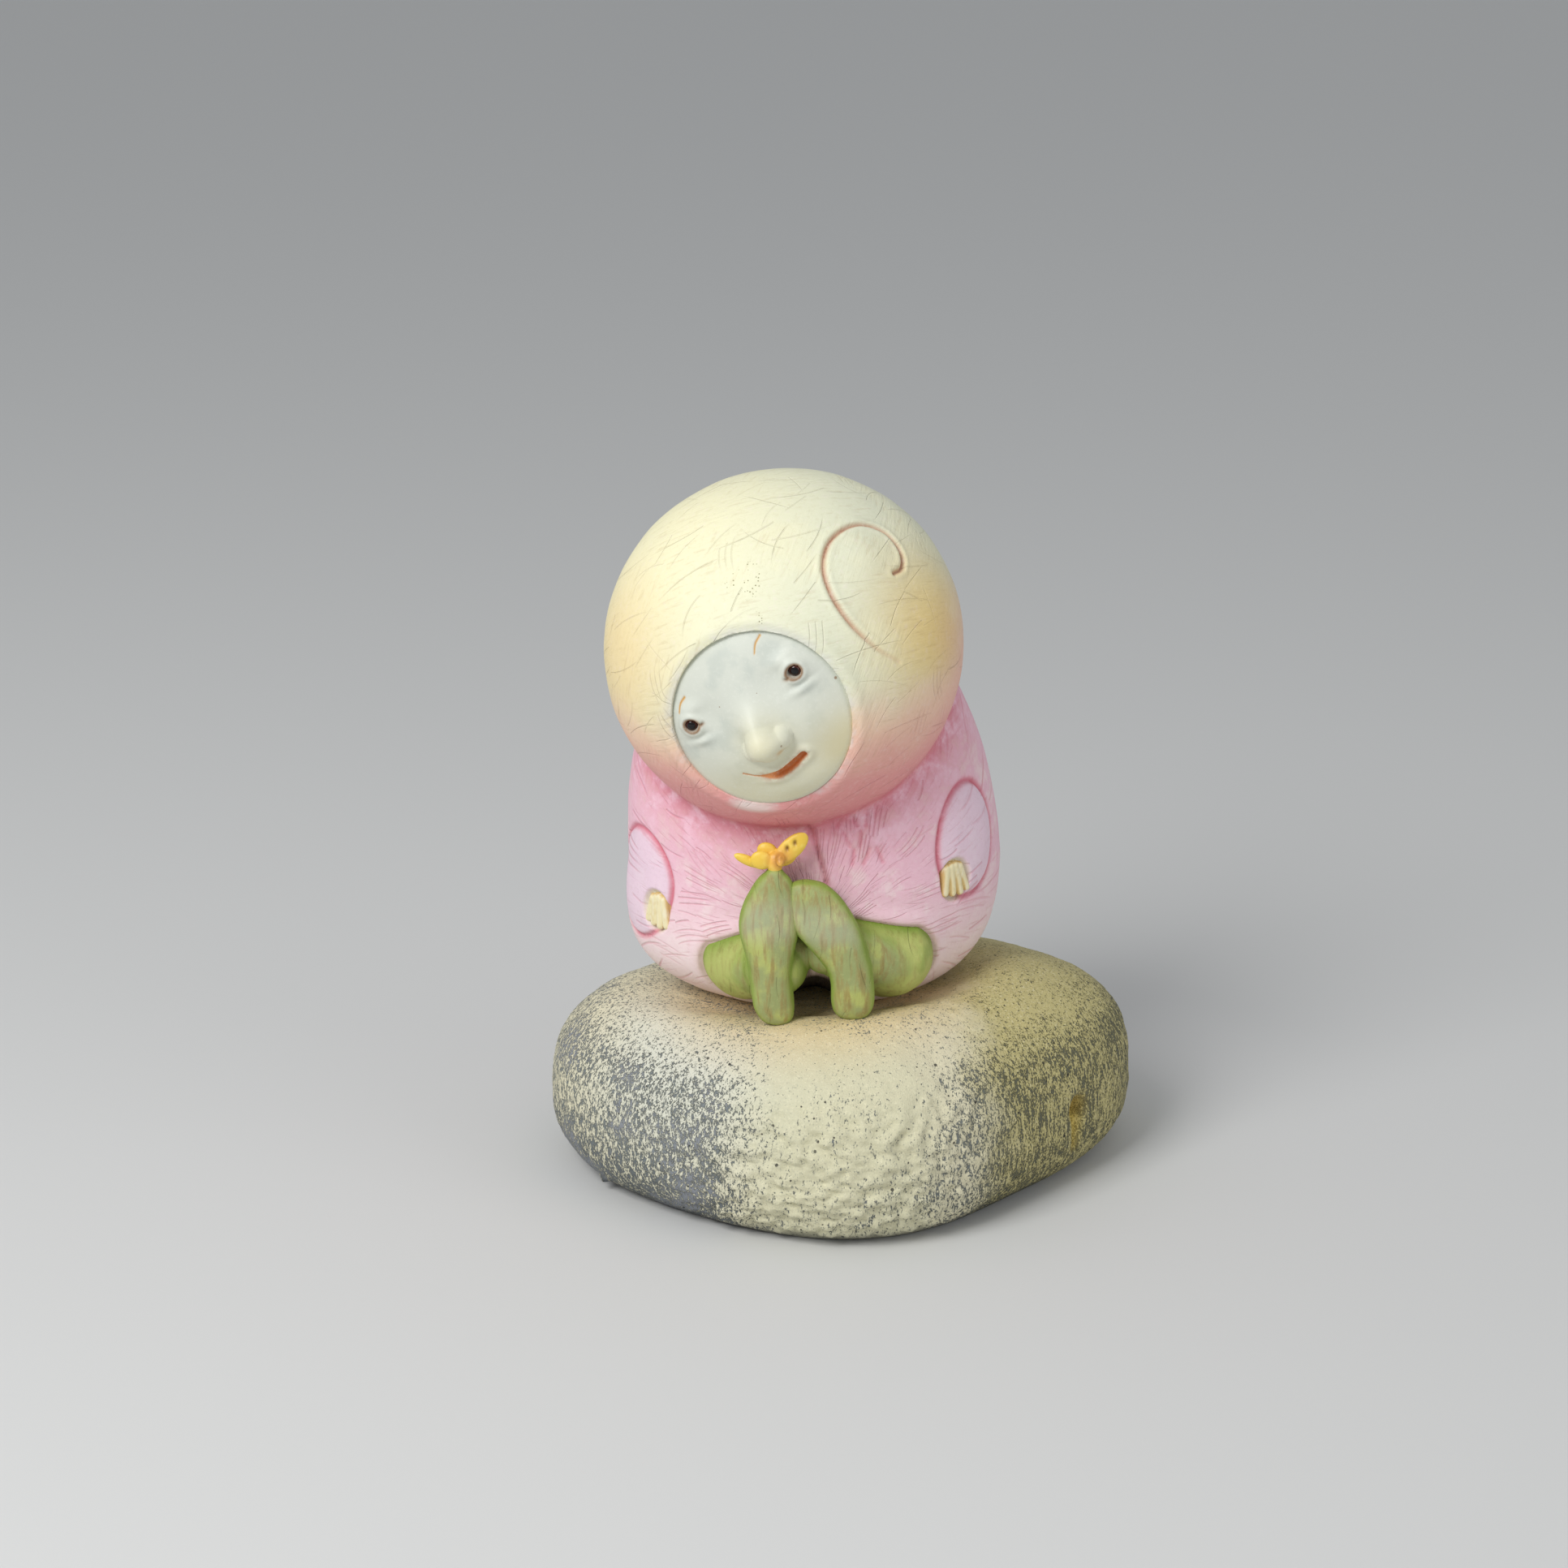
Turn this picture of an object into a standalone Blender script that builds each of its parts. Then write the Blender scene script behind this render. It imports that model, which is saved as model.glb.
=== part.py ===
"""A child in a round hood, sitting on a stone with a butterfly on one toe: a painted clay figurine.

Metres, +Z up, +X to the viewer's right. The child looks towards -Y, and the stone stands on Z = 0.
"""

import math

import bpy
import numpy as np
from mathutils import Matrix, Vector

GAP = 0.0003  # between two pieces that touch

# The stone: a pebble with a rounded plan, a dish to sit in and a flat underside
STONE_WIDTH = 0.2000
STONE_DEPTH = 0.1760
STONE_WAIST = 0.026  # height of its widest line
STONE_RISE = 0.047  # from the widest line to the undished top
STONE_DROP = 0.036  # from the widest line down, before the underside is cut flat
STONE_TOP_FULLNESS = 2.6  # 2 is an ellipsoid, and more is squarer
STONE_FOOT_FULLNESS = 2.9
STONE_TILT = 0.03  # rise of the top towards +X
STONE_FALL = 0.0065  # drop of the top towards the back
STONE_PLAN = ((1, 0.045, 112), (2, 0.069, 32), (3, 0.043, 94), (4, 0.028, 41))  # wave, share, degrees
DISH_HALF_WIDTH, DISH_HALF_DEPTH = 0.070, 0.062
STONE_SEGMENTS, STONE_RINGS = 38, 22

# The body: an egg that leans to the viewer's left, cut flat where it sits
SEAT_HEIGHT = 0.0615
SEAT_MARGIN = 0.0015  # of the flat in the stone, round the flat of the body
BODY_X, BODY_Y = -0.0097, 0.010
BODY_HALF_WIDTH = 0.0633
BODY_HALF_DEPTH = 0.050
BODY_WAIST = 0.107  # height of its widest line
BODY_RISE, BODY_DROP = 0.101, 0.050
BODY_FULLNESS = 2.9  # of the lower half
BODY_LEAN = -0.06  # of the upper half
BODY_SAG = -0.035  # of the lower half
BODY_SEGMENTS, BODY_RINGS = 36, 22

# The head: one ball with the hood, and the face as a round window in it
HEAD_CENTRE = Vector((-0.0207, -0.015, 0.185))
HEAD_RADIUS = 0.0587
CROWN_TOWARDS = Vector((0.75, 0.20, 0.63))
CROWN_SWELL = 0.033  # the hood is this share bigger there
HEAD_SEGMENTS, HEAD_RINGS = 40, 28
FACE_AZIMUTH, FACE_ELEVATION, FACE_ROLL = -7.6, -11.0, 32.0  # degrees, from -Y
FACE_RADIUS = 0.0294
FACE_RINGS = 11  # of the head's rings, those inside the face
RIM_WIDTH = 0.0008
FACE_RECESS = 0.0022

# The face, across and up it from its middle
EYE_SPREAD, EYE_HEIGHT = 0.0198, 0.0105
EYE_RADIUS = 0.0023
EYE_SUNK = 0.0009  # bead centre below the lids
NOSE_HEIGHT, NOSE_LENGTH, NOSE_STANDS = -0.0015, 0.0105, 0.0072
MOUTH = ((-0.0100, -0.0125), (-0.0055, -0.0170), (0.0010, -0.0180), (0.0080, -0.0155))
MOUTH_RADII = (0.0004, 0.0007, 0.0011, 0.0013)

# The curl cut in the hood, across and up from its own middle
CURL_AZIMUTH, CURL_ELEVATION = 33.0, 42.0
CURL = (
    (0.0116, -0.0057), (0.0160, -0.0038), (0.0180, 0.0020), (0.0150, 0.0096), (0.0060, 0.0130),
    (-0.0050, 0.0096), (-0.0118, 0.0015), (-0.0128, -0.0086), (-0.0092, -0.0188), (-0.0018, -0.0273),
    (0.0066, -0.0322),
)
CURL_GROOVE = 0.0011

# The fold down the chest, by azimuth in degrees and height
CHEST_FOLD = ((-0.5, 0.1330), (1.0, 0.1250), (3.0, 0.1150), (4.0, 0.1050))
CHEST_GROOVE = 0.0010

# The sleeves: middle by azimuth in degrees and height, half width and half length, and turn in degrees.
# The fingertips below each: first one's place from the sleeve's middle, and which way they point
SLEEVES = {
    "right": {"azimuth": 56.5, "height": 0.1200, "size": (0.0165, 0.0200), "turn": -28.0,
              "hand": (-0.0080, -0.0125), "point": 10.0},
    "left": {"azimuth": -68.0, "height": 0.1020, "size": (0.0215, 0.0190), "turn": 24.0,
             "hand": (0.0118, -0.0095), "point": -6.0},
}
SLEEVE_SWELL = 0.0012
SLEEVE_GROOVE = 0.0008
FINGERS = 4
FINGER_RADIUS, FINGER_LENGTH, FINGER_FAN = 0.0018, 0.0100, 9.0
FINGER_SUNK = 0.4
FINGER_TAPER = 0.10  # the outer fingers are this much shorter

# The legs: hip and ankle of each, in the figure's own frame, and their radii
BODY_FRONT = BODY_Y - BODY_HALF_DEPTH  # the legs and feet keep their places from the robe's front
HIP_INSIDE, ANKLE_OUTSIDE = 0.0150, 0.0005
LEGS = {
    "left": ((-0.0290, BODY_FRONT + HIP_INSIDE, 0.0845), (-0.0235, BODY_FRONT - ANKLE_OUTSIDE, 0.0815)),
    "right": ((0.0125, BODY_FRONT + HIP_INSIDE, 0.0860), (0.0005, BODY_FRONT - ANKLE_OUTSIDE, 0.0840)),
}
HIP_RADIUS, ANKLE_RADIUS = 0.0142, 0.0105
HIP_WIDTH = 1.22  # the hip is wider than it is tall
HEM_GROOVE = 0.0009

# The feet: soles to the viewer. Each centre line and half width is read from heel to toe, and
# each toe ends that far below the hood
SOLE_Y = BODY_FRONT - 0.0130
FOOT_THICKNESS = 0.0115
FEET = {
    "left": {"heel": 0.0654, "below_hood": 0.0170,
             "line": (-0.0222, -0.0236, -0.0240, -0.0222), "half": (0.0082, 0.0080, 0.0100, 0.0054)},
    "right": {"heel": 0.0674, "below_hood": 0.0215,
              "line": (0.0038, 0.0028, -0.0050, -0.0096), "half": (0.0086, 0.0080, 0.0108, 0.0098)},
}
FOOT_FULLNESS = 2.7
TOE_KNOB = 0.0034  # the left toe's tip, where the butterfly sits

# The butterfly: each lobe's middle from the toe's tip, half sizes and turn about Y in degrees
WING_THICKNESS = 0.0030
LOBES = {
    "right_wing": ((0.0052, 0.0000, 0.0086), (0.0066, 0.0033), -38.0),
    "right_hind_wing": ((0.0030, 0.0016, 0.0056), (0.0042, 0.0030), -25.0),
    "left_wing": ((-0.0024, 0.0020, 0.0070), (0.0036, 0.0030), 30.0),
    "left_front_wing": ((-0.0044, -0.0010, 0.0058), (0.0036, 0.0032), 20.0),
    "left_hind_wing": ((-0.0086, 0.0008, 0.0042), (0.0052, 0.0017), 24.0),
}
BUTTERFLY_BODY = 0.0017
BUTTERFLY_BODY_LENGTH = 0.0080
BUTTERFLY_FOOT = 0.0026


def clear_scene():
    for obj in list(bpy.data.objects):
        bpy.data.objects.remove(obj)


def paint(name, colour, roughness, metallic=0.0):
    """A plain finish: a Principled BSDF with its colour, roughness and metallic value."""
    material = bpy.data.materials.new(name)
    material.use_nodes = True
    shader = material.node_tree.nodes["Principled BSDF"]
    shader.inputs["Base Color"].default_value = (*colour, 1.0)
    shader.inputs["Roughness"].default_value = roughness
    shader.inputs["Metallic"].default_value = metallic
    return material


def ball(name, segments, rings, material):
    """A sphere of radius 1 at the origin, with its poles on Z."""
    bpy.ops.mesh.primitive_uv_sphere_add(segments=segments, ring_count=rings, radius=1.0)
    obj = bpy.context.object
    obj.name = name
    obj.data.materials.append(material)
    return obj


def move_points(obj, place):
    """Puts each vertex where place says."""
    for vertex in obj.data.vertices:
        vertex.co = place(vertex.co.copy())
    obj.data.update()


def combine(target, other, operation):
    """Joins other to target, or cuts it away, and leaves one mesh."""
    modifier = target.modifiers.new(operation.title(), "BOOLEAN")
    modifier.operation = operation
    modifier.solver = "MANIFOLD"
    modifier.material_mode = "TRANSFER"
    modifier.object = other
    evaluated = target.evaluated_get(bpy.context.evaluated_depsgraph_get())
    result = bpy.data.meshes.new_from_object(evaluated)
    target.modifiers.clear()
    target.data = result
    bpy.data.objects.remove(other)


def smooth_path(points, count):
    """A Catmull-Rom curve through the points, as count places along it."""
    points = [Vector(p) for p in points]
    points = [2 * points[0] - points[1], *points, 2 * points[-1] - points[-2]]
    spans = len(points) - 3
    found = []
    for step in range(count):
        along = step / (count - 1) * spans
        k = min(int(along), spans - 1)
        t = along - k
        a, b, c, d = points[k : k + 4]
        found.append(0.5 * (2 * b + (c - a) * t + (2 * a - 5 * b + 4 * c - d) * t**2
                            + (3 * b - a - 3 * c + d) * t**3))
    return found


def tube(name, points, radii, material, closed=False):
    """A mesh tube along the points, with a radius at each, closed on itself or with capped ends."""
    curve = bpy.data.curves.new(name, "CURVE")
    curve.dimensions = "3D"
    curve.bevel_depth = 1.0
    curve.bevel_resolution = 1
    curve.use_fill_caps = not closed
    spline = curve.splines.new("POLY")
    spline.use_cyclic_u = closed
    spline.points.add(len(points) - 1)
    for point, place, radius in zip(spline.points, points, radii):
        point.co = (*place, 1.0)
        point.radius = radius
    route = bpy.data.objects.new(name + "_route", curve)
    bpy.context.scene.collection.objects.link(route)
    evaluated = route.evaluated_get(bpy.context.evaluated_depsgraph_get())
    obj = bpy.data.objects.new(name, bpy.data.meshes.new_from_object(evaluated))
    bpy.context.scene.collection.objects.link(obj)
    bpy.data.objects.remove(route)
    weld = obj.modifiers.new("Weld", "WELD")
    weld.merge_threshold = GAP / 10
    obj.data.materials.append(material)
    return obj


def between(values, share):
    """Reads evenly spaced values smoothly at a share of their length."""
    places = [Vector((value, 0, 0)) for value in values]
    count = 41
    return smooth_path(places, count)[round(max(0.0, min(1.0, share)) * (count - 1))].x


def frame_towards(azimuth, elevation, roll=0.0):
    """Axes across, up and out of a place that looks that way. Azimuth 0 is -Y, towards +X."""
    azimuth, elevation, roll = (math.radians(angle) for angle in (azimuth, elevation, roll))
    out = Vector((math.sin(azimuth) * math.cos(elevation),
                  -math.cos(azimuth) * math.cos(elevation), math.sin(elevation)))
    across = Vector((math.cos(azimuth), math.sin(azimuth), 0))
    turn = Matrix.Rotation(roll, 3, out)
    across = turn @ across
    return Matrix((across, out.cross(across), out)).transposed()


FACE_FRAME = frame_towards(FACE_AZIMUTH, FACE_ELEVATION, FACE_ROLL)
CURL_FRAME = frame_towards(CURL_AZIMUTH, CURL_ELEVATION)


def stone_radius(angle):
    """The stone's plan, as a share of its mean radius."""
    return 1 + sum(share * math.cos(wave * angle - math.radians(turn)) for wave, share, turn in STONE_PLAN)


def superround(share, fullness):
    """Height of a full-sided round at a share of its radius."""
    return max(0.0, 1 - min(1.0, share) ** fullness) ** (1 / fullness)


def soft_step(value, start, end):
    t = max(0.0, min(1.0, (value - start) / (end - start)))
    return t * t * (3 - 2 * t)


def stone_shape(point):
    """Moves a point of the unit sphere to the pebble, before it is dished and scaled to size."""
    angle = math.atan2(point.y, point.x)
    slope = math.asin(max(-1.0, min(1.0, point.z)))
    reach = math.cos(slope)
    lift = math.sin(slope)
    fullness = STONE_TOP_FULLNESS if lift > 0 else STONE_FOOT_FULLNESS
    full = (reach**fullness + abs(lift) ** fullness) ** (-1 / fullness)
    flat = reach * full * stone_radius(angle)
    height = lift * full * (STONE_RISE if lift > 0 else STONE_DROP)
    return Vector((flat * math.cos(angle), flat * math.sin(angle), height))


def make_stone(material):
    stone = ball("stone_base", STONE_SEGMENTS, STONE_RINGS, material)
    move_points(stone, stone_shape)
    plan = [vertex.co for vertex in stone.data.vertices]
    low = Vector((min(p.x for p in plan), min(p.y for p in plan), 0))
    high = Vector((max(p.x for p in plan), max(p.y for p in plan), 0))
    size = high - low
    dish = STONE_WAIST + STONE_RISE - SEAT_HEIGHT - 2 * GAP

    def settle(point):
        x = ((point.x - low.x) / size.x - 0.5) * STONE_WIDTH
        y = ((point.y - low.y) / size.y - 0.5) * STONE_DEPTH
        z = STONE_WAIST + point.z
        if point.z > 0:
            share = point.z / STONE_RISE
            away = math.hypot((x - BODY_X) / DISH_HALF_WIDTH, (y - BODY_Y) / DISH_HALF_DEPTH)
            z += STONE_TILT * x * share * soft_step(away, 0.4, 0.8)
            z -= STONE_FALL * share * soft_step(y, 0.0, 0.05) * soft_step(away, 0.6, 1.1)
            z -= dish * (1 - soft_step(away, 0.55, 1.05)) * share
        return Vector((x, y, z))

    move_points(stone, settle)

    bpy.ops.mesh.primitive_cube_add(size=1.0)
    below = bpy.context.object
    below.name = "ground_cutter"
    below.data.transform(Matrix.Diagonal((2 * STONE_WIDTH, 2 * STONE_DEPTH, 2 * STONE_DROP, 1)))
    below.data.transform(Matrix.Translation((0, 0, -STONE_DROP)))
    combine(stone, below, "DIFFERENCE")

    bpy.ops.mesh.primitive_cylinder_add(vertices=36, radius=1.0, depth=1.0)
    seat = bpy.context.object
    seat.name = "seat_cutter"
    flat = superround((BODY_WAIST - SEAT_HEIGHT) / BODY_DROP, BODY_FULLNESS)
    halves = (BODY_HALF_WIDTH * flat + SEAT_MARGIN, BODY_HALF_DEPTH * flat + SEAT_MARGIN)
    seat.data.transform(Matrix.Diagonal((*halves, STONE_RISE, 1)))
    seat.data.transform(Matrix.Translation(body_middle(SEAT_HEIGHT) + Vector((0, 0, STONE_RISE / 2 - GAP))))
    combine(stone, seat, "DIFFERENCE")

    for side in FEET:
        combine(stone, make_foot(side, material, GAP), "DIFFERENCE")
    return stone


def body_middle(height):
    """The body's axis at a height."""
    lean = BODY_LEAN * max(0.0, height - BODY_WAIST) + BODY_SAG * max(0.0, BODY_WAIST - height)
    return Vector((BODY_X + lean, BODY_Y, height))


def body_share(height):
    """The robe's half width at a height, as a share of its widest."""
    if height > BODY_WAIST:
        return superround((height - BODY_WAIST) / BODY_RISE, 2)
    return superround((BODY_WAIST - height) / BODY_DROP, BODY_FULLNESS)


def sleeve_place(side, turn, scale=1.0):
    """Azimuth and height of a point on a sleeve's outline."""
    spec = SLEEVES[side]
    across = scale * spec["size"][0] * math.cos(turn)
    up = scale * spec["size"][1] * math.sin(turn)
    lean = math.radians(spec["turn"])
    across, up = across * math.cos(lean) - up * math.sin(lean), across * math.sin(lean) + up * math.cos(lean)
    return spec["azimuth"] + math.degrees(across / BODY_HALF_WIDTH), spec["height"] + up


def sleeve_relief(azimuth, height):
    """How far the sleeves stand off the robe there."""
    relief = 0.0
    for spec in SLEEVES.values():
        across = math.radians(azimuth - spec["azimuth"]) * BODY_HALF_WIDTH
        up = height - spec["height"]
        lean = math.radians(-spec["turn"])
        across, up = across * math.cos(lean) - up * math.sin(lean), across * math.sin(lean) + up * math.cos(lean)
        away = math.hypot(across / spec["size"][0], up / spec["size"][1])
        relief += SLEEVE_SWELL * (1 - soft_step(away, 0.5, 1.1))
    return relief


def body_point(azimuth, height):
    """A point on the robe, by azimuth in degrees from -Y and by height."""
    share = body_share(height)
    angle = math.radians(azimuth)
    off = sleeve_relief(azimuth, height)
    across = Vector(((BODY_HALF_WIDTH * share + off) * math.sin(angle),
                     -(BODY_HALF_DEPTH * share + off) * math.cos(angle), 0))
    return body_middle(height) + across


def body_frame(azimuth, height):
    """Where and which way the robe faces there, as a matrix: across, up and out."""
    step = 0.001
    place = body_point(azimuth, height)
    across = (body_point(azimuth + 1, height) - place).normalized()
    up = (body_point(azimuth, height + step) - place).normalized()
    out = across.cross(up).normalized()
    up = out.cross(across)
    return Matrix.Translation(place) @ Matrix((across, up, out)).transposed().to_4x4()


def make_body(material):
    body = ball("robe", BODY_SEGMENTS, BODY_RINGS, material)

    def place(point):
        height = BODY_WAIST + point.z * (BODY_RISE if point.z > 0 else BODY_DROP)
        return body_point(math.degrees(math.atan2(point.x, -point.y)), height)

    move_points(body, place)
    return body


def bump(across, up, middle_across, middle_up, half_across, half_up):
    """A smooth mound, 1 at its middle."""
    return math.exp(-(((across - middle_across) / half_across) ** 2) - ((up - middle_up) / half_up) ** 2)


def face_relief(across, up):
    """How far the face stands out of the hood's round, along the face's own axis."""
    reach = math.hypot(across, up)
    inside = 1 - soft_step(reach, FACE_RADIUS - RIM_WIDTH, FACE_RADIUS)
    side = abs(across)
    nose_width = 0.0042 + 0.10 * max(0.0, NOSE_HEIGHT + NOSE_LENGTH - up)
    nose = math.exp(-((across / nose_width) ** 2))
    nose *= soft_step(up, NOSE_HEIGHT + NOSE_LENGTH, NOSE_HEIGHT)
    nose *= soft_step(up, NOSE_HEIGHT - 0.0085, NOSE_HEIGHT - 0.0030)
    relief = -FACE_RECESS + NOSE_STANDS * nose
    relief += 0.0016 * bump(side, up, 0.0055, NOSE_HEIGHT - 0.0038, 0.0026, 0.0024)
    relief -= 0.0018 * bump(side, up, EYE_SPREAD - 0.0030, EYE_HEIGHT - 0.0005, 0.0080, 0.0060)
    relief += 0.0013 * bump(side, up, EYE_SPREAD, EYE_HEIGHT, 0.0042, 0.0038)
    relief += 0.0012 * bump(side, up, 0.0130, -0.0070, 0.0070, 0.0080)
    relief += 0.0014 * bump(across, up, 0.0, -0.0235, 0.0100, 0.0055)
    return inside * relief


def swell(offset):
    """Makes the hood a little bigger towards its crown."""
    towards = max(0.0, offset.normalized().dot(CROWN_TOWARDS.normalized()))
    return offset * (1 + CROWN_SWELL * towards**3)


def face_point(across, up, out=0.0):
    """A point on the face's surface, or out from it."""
    height = math.sqrt(HEAD_RADIUS**2 - across**2 - up**2) + face_relief(across, up)
    return HEAD_CENTRE + swell(FACE_FRAME @ Vector((across, up, height + out)))


def make_head(material):
    """A sphere with its pole at the middle of the face, so that its rings follow the face's rim."""
    head = ball("child_figure", HEAD_SEGMENTS, HEAD_RINGS, material)
    inner = math.asin((FACE_RADIUS - RIM_WIDTH) / HEAD_RADIUS)
    outer = math.asin(FACE_RADIUS / HEAD_RADIUS)
    knots = (0, FACE_RINGS, FACE_RINGS + 1, HEAD_RINGS)
    angles = (0, inner, outer, math.pi)

    def place(point):
        ring = math.acos(max(-1.0, min(1.0, point.z))) / math.pi * HEAD_RINGS
        polar = float(np.interp(ring, knots, angles))
        turn = math.atan2(point.y, point.x)
        across = HEAD_RADIUS * math.sin(polar) * math.cos(turn)
        up = HEAD_RADIUS * math.sin(polar) * math.sin(turn)
        out = HEAD_RADIUS * math.cos(polar)
        if out > 0:
            out += face_relief(across, up)
        return HEAD_CENTRE + swell(FACE_FRAME @ Vector((across, up, out)))

    move_points(head, place)
    return head


def on_hood(across, up):
    """A point on the hood, across and up from the curl's middle."""
    out = math.sqrt(HEAD_RADIUS**2 - across**2 - up**2)
    return HEAD_CENTRE + swell(CURL_FRAME @ Vector((across, up, out)))


def ellipsoid(name, matrix, sizes, material, segments=16, rings=10):
    """A ball of those half sizes, put in place by the matrix."""
    obj = ball(name, segments, rings, material)
    obj.data.transform(matrix @ Matrix.Diagonal((*sizes, 1)))
    return obj


def limb(name, start, end, start_radius, end_radius, material, segments=16, rings=10, width=1.0):
    """A tapered limb with round ends. Width widens its start."""
    start, end = Vector(start), Vector(end)
    turn = (end - start).to_track_quat("Z", "Y").to_matrix()
    obj = ball(name, segments, rings, material)

    def place(point):
        if point.z > 0:
            return end + turn @ point * end_radius
        return start + turn @ Vector((width * point.x, point.y, point.z)) * start_radius

    move_points(obj, place)
    return obj


def toe_top(side):
    """The height of a toe's tip: its own clearance below the hood."""
    spec = FEET[side]
    x, y = spec["line"][-1] - HEAD_CENTRE.x, SOLE_Y + FOOT_THICKNESS / 2 - HEAD_CENTRE.y
    underside = HEAD_CENTRE.z - math.sqrt(max(0.0, HEAD_RADIUS**2 - x**2 - y**2))
    return underside - spec["below_hood"]


def make_foot(side, material, grow=0.0):
    """A thick bean of a foot, its sole to the viewer."""
    spec = FEET[side]
    half_length = (toe_top(side) - spec["heel"]) / 2 + grow
    middle = (toe_top(side) + spec["heel"]) / 2
    foot = ball(side + "_foot", 16, 12, material)

    def place(point):
        along = (point.z + 1) / 2
        ring = math.hypot(point.x, point.y)
        full = superround(abs(point.z), FOOT_FULLNESS) if ring > 1e-6 else 0.0
        x, y = (point.x / ring, point.y / ring) if ring > 1e-6 else (0.0, 0.0)
        half = between(spec["half"], along) * full + grow
        line = between(spec["line"], along)
        depth = FOOT_THICKNESS / 2 * full + grow
        return Vector((line + x * half, SOLE_Y + FOOT_THICKNESS / 2 + y * depth, middle + point.z * half_length))

    move_points(foot, place)
    return foot


def toe_tip():
    """Where the butterfly sits: the middle of the left toe's knob."""
    spec = FEET["left"]
    return Vector((spec["line"][-1], SOLE_Y + FOOT_THICKNESS / 2, toe_top("left") - TOE_KNOB / 2))


def outside_robe(point):
    """How far a point is outside the robe, as a share of its half width there."""
    off = point - body_middle(point.z)
    return math.hypot(off.x / BODY_HALF_WIDTH, off.y / BODY_HALF_DEPTH) - body_share(point.z)


def hem_point(side, angle):
    """Where the leg's surface comes out of the robe, at an angle round the leg."""
    hip, ankle = (Vector(p) for p in LEGS[side])
    turn = (ankle - hip).to_track_quat("Z", "Y").to_matrix()
    start = hip + turn @ Vector((HIP_WIDTH * math.cos(angle), math.sin(angle), 0)) * HIP_RADIUS
    end = ankle + turn @ Vector((math.cos(angle), math.sin(angle), 0)) * ANKLE_RADIUS
    inner, outer = 0.0, 1.0
    for _ in range(20):
        middle = (inner + outer) / 2
        if outside_robe(start.lerp(end, middle)) < 0:
            inner = middle
        else:
            outer = middle
    return start.lerp(end, inner)


def add_arm(figure, side, robe, skin):
    """A sleeve in low relief, with a groove round it and the fingertips at its end."""
    spec = SLEEVES[side]
    ring = [body_point(*sleeve_place(side, 2 * math.pi * k / 24)) for k in range(24)]
    combine(figure, tube("sleeve_cutter", ring, [SLEEVE_GROOVE] * 24, robe, closed=True), "DIFFERENCE")
    for k in range(FINGERS):
        order = k - (FINGERS - 1) / 2
        across = spec["hand"][0] + 1.63 * FINGER_RADIUS * order
        azimuth = spec["azimuth"] + math.degrees(across / BODY_HALF_WIDTH)
        turn = math.radians(spec["point"] + FINGER_FAN * order)
        knuckle = body_frame(azimuth, spec["height"] + spec["hand"][1]) @ Matrix.Rotation(turn, 4, "Z")
        reach = FINGER_LENGTH * (1 - FINGER_TAPER * abs(order - 0.3)) / 2
        start = knuckle @ Vector((0, reach, -FINGER_SUNK * FINGER_RADIUS))
        end = knuckle @ Vector((0, -reach, -FINGER_SUNK * FINGER_RADIUS))
        finger = limb(f"{side}_finger_{k}", start, end, FINGER_RADIUS, 0.8 * FINGER_RADIUS, skin, 8, 6)
        combine(figure, finger, "UNION")


def make_figure(paints):
    """The child, fired in one piece: hood and face, robe, sleeves, fingers, legs and feet."""
    figure = make_head(paints["hood"])
    combine(figure, make_body(paints["robe"]), "UNION")

    bpy.ops.mesh.primitive_cube_add(size=1.0)
    below = bpy.context.object
    below.name = "seat_trim"
    below.data.transform(Matrix.Diagonal((4 * BODY_HALF_WIDTH, 4 * BODY_HALF_DEPTH, BODY_DROP, 1)))
    below.data.transform(Matrix.Translation((BODY_X, BODY_Y, SEAT_HEIGHT - BODY_DROP / 2)))
    combine(figure, below, "DIFFERENCE")

    for side in SLEEVES:
        add_arm(figure, side, paints["robe"], paints["fingers"])
    for side in LEGS:
        hip, ankle = LEGS[side]
        leg = limb(side + "_leg", hip, ankle, HIP_RADIUS, ANKLE_RADIUS, paints["stockings"], width=HIP_WIDTH)
        combine(figure, leg, "UNION")
        hem = [hem_point(side, 2 * math.pi * k / 20) for k in range(20)]
        hem = tube("hem_cutter", hem, [HEM_GROOVE] * 20, paints["robe"], closed=True)
        combine(figure, hem, "DIFFERENCE")
        combine(figure, make_foot(side, paints["stockings"]), "UNION")
    knob = ellipsoid("toe_knob", Matrix.Translation(toe_tip()), (TOE_KNOB,) * 3, paints["stockings"], 12, 8)
    combine(figure, knob, "UNION")

    curl = smooth_path([on_hood(*p) for p in CURL], 26)
    fade = [CURL_GROOVE * (1 - 0.6 * soft_step(k, 19, 25)) for k in range(26)]
    combine(figure, tube("curl_cutter", curl, fade, paints["hood"]), "DIFFERENCE")

    fold = smooth_path([body_point(*p) for p in CHEST_FOLD], 8)
    combine(figure, tube("fold_cutter", fold, [CHEST_GROOVE] * 8, paints["robe"]), "DIFFERENCE")

    mouth = smooth_path([face_point(*p) for p in MOUTH], 9)
    radii = [between(MOUTH_RADII, k / 8) for k in range(9)]
    combine(figure, tube("mouth_cutter", mouth, radii, paints["lips"]), "DIFFERENCE")

    for across in (-EYE_SPREAD, EYE_SPREAD):
        place = Matrix.Translation(face_point(across, EYE_HEIGHT, -EYE_SUNK))
        socket = ellipsoid("socket_cutter", place, (EYE_RADIUS + GAP,) * 3, paints["face"], 16, 10)
        combine(figure, socket, "DIFFERENCE")
    return figure


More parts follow.
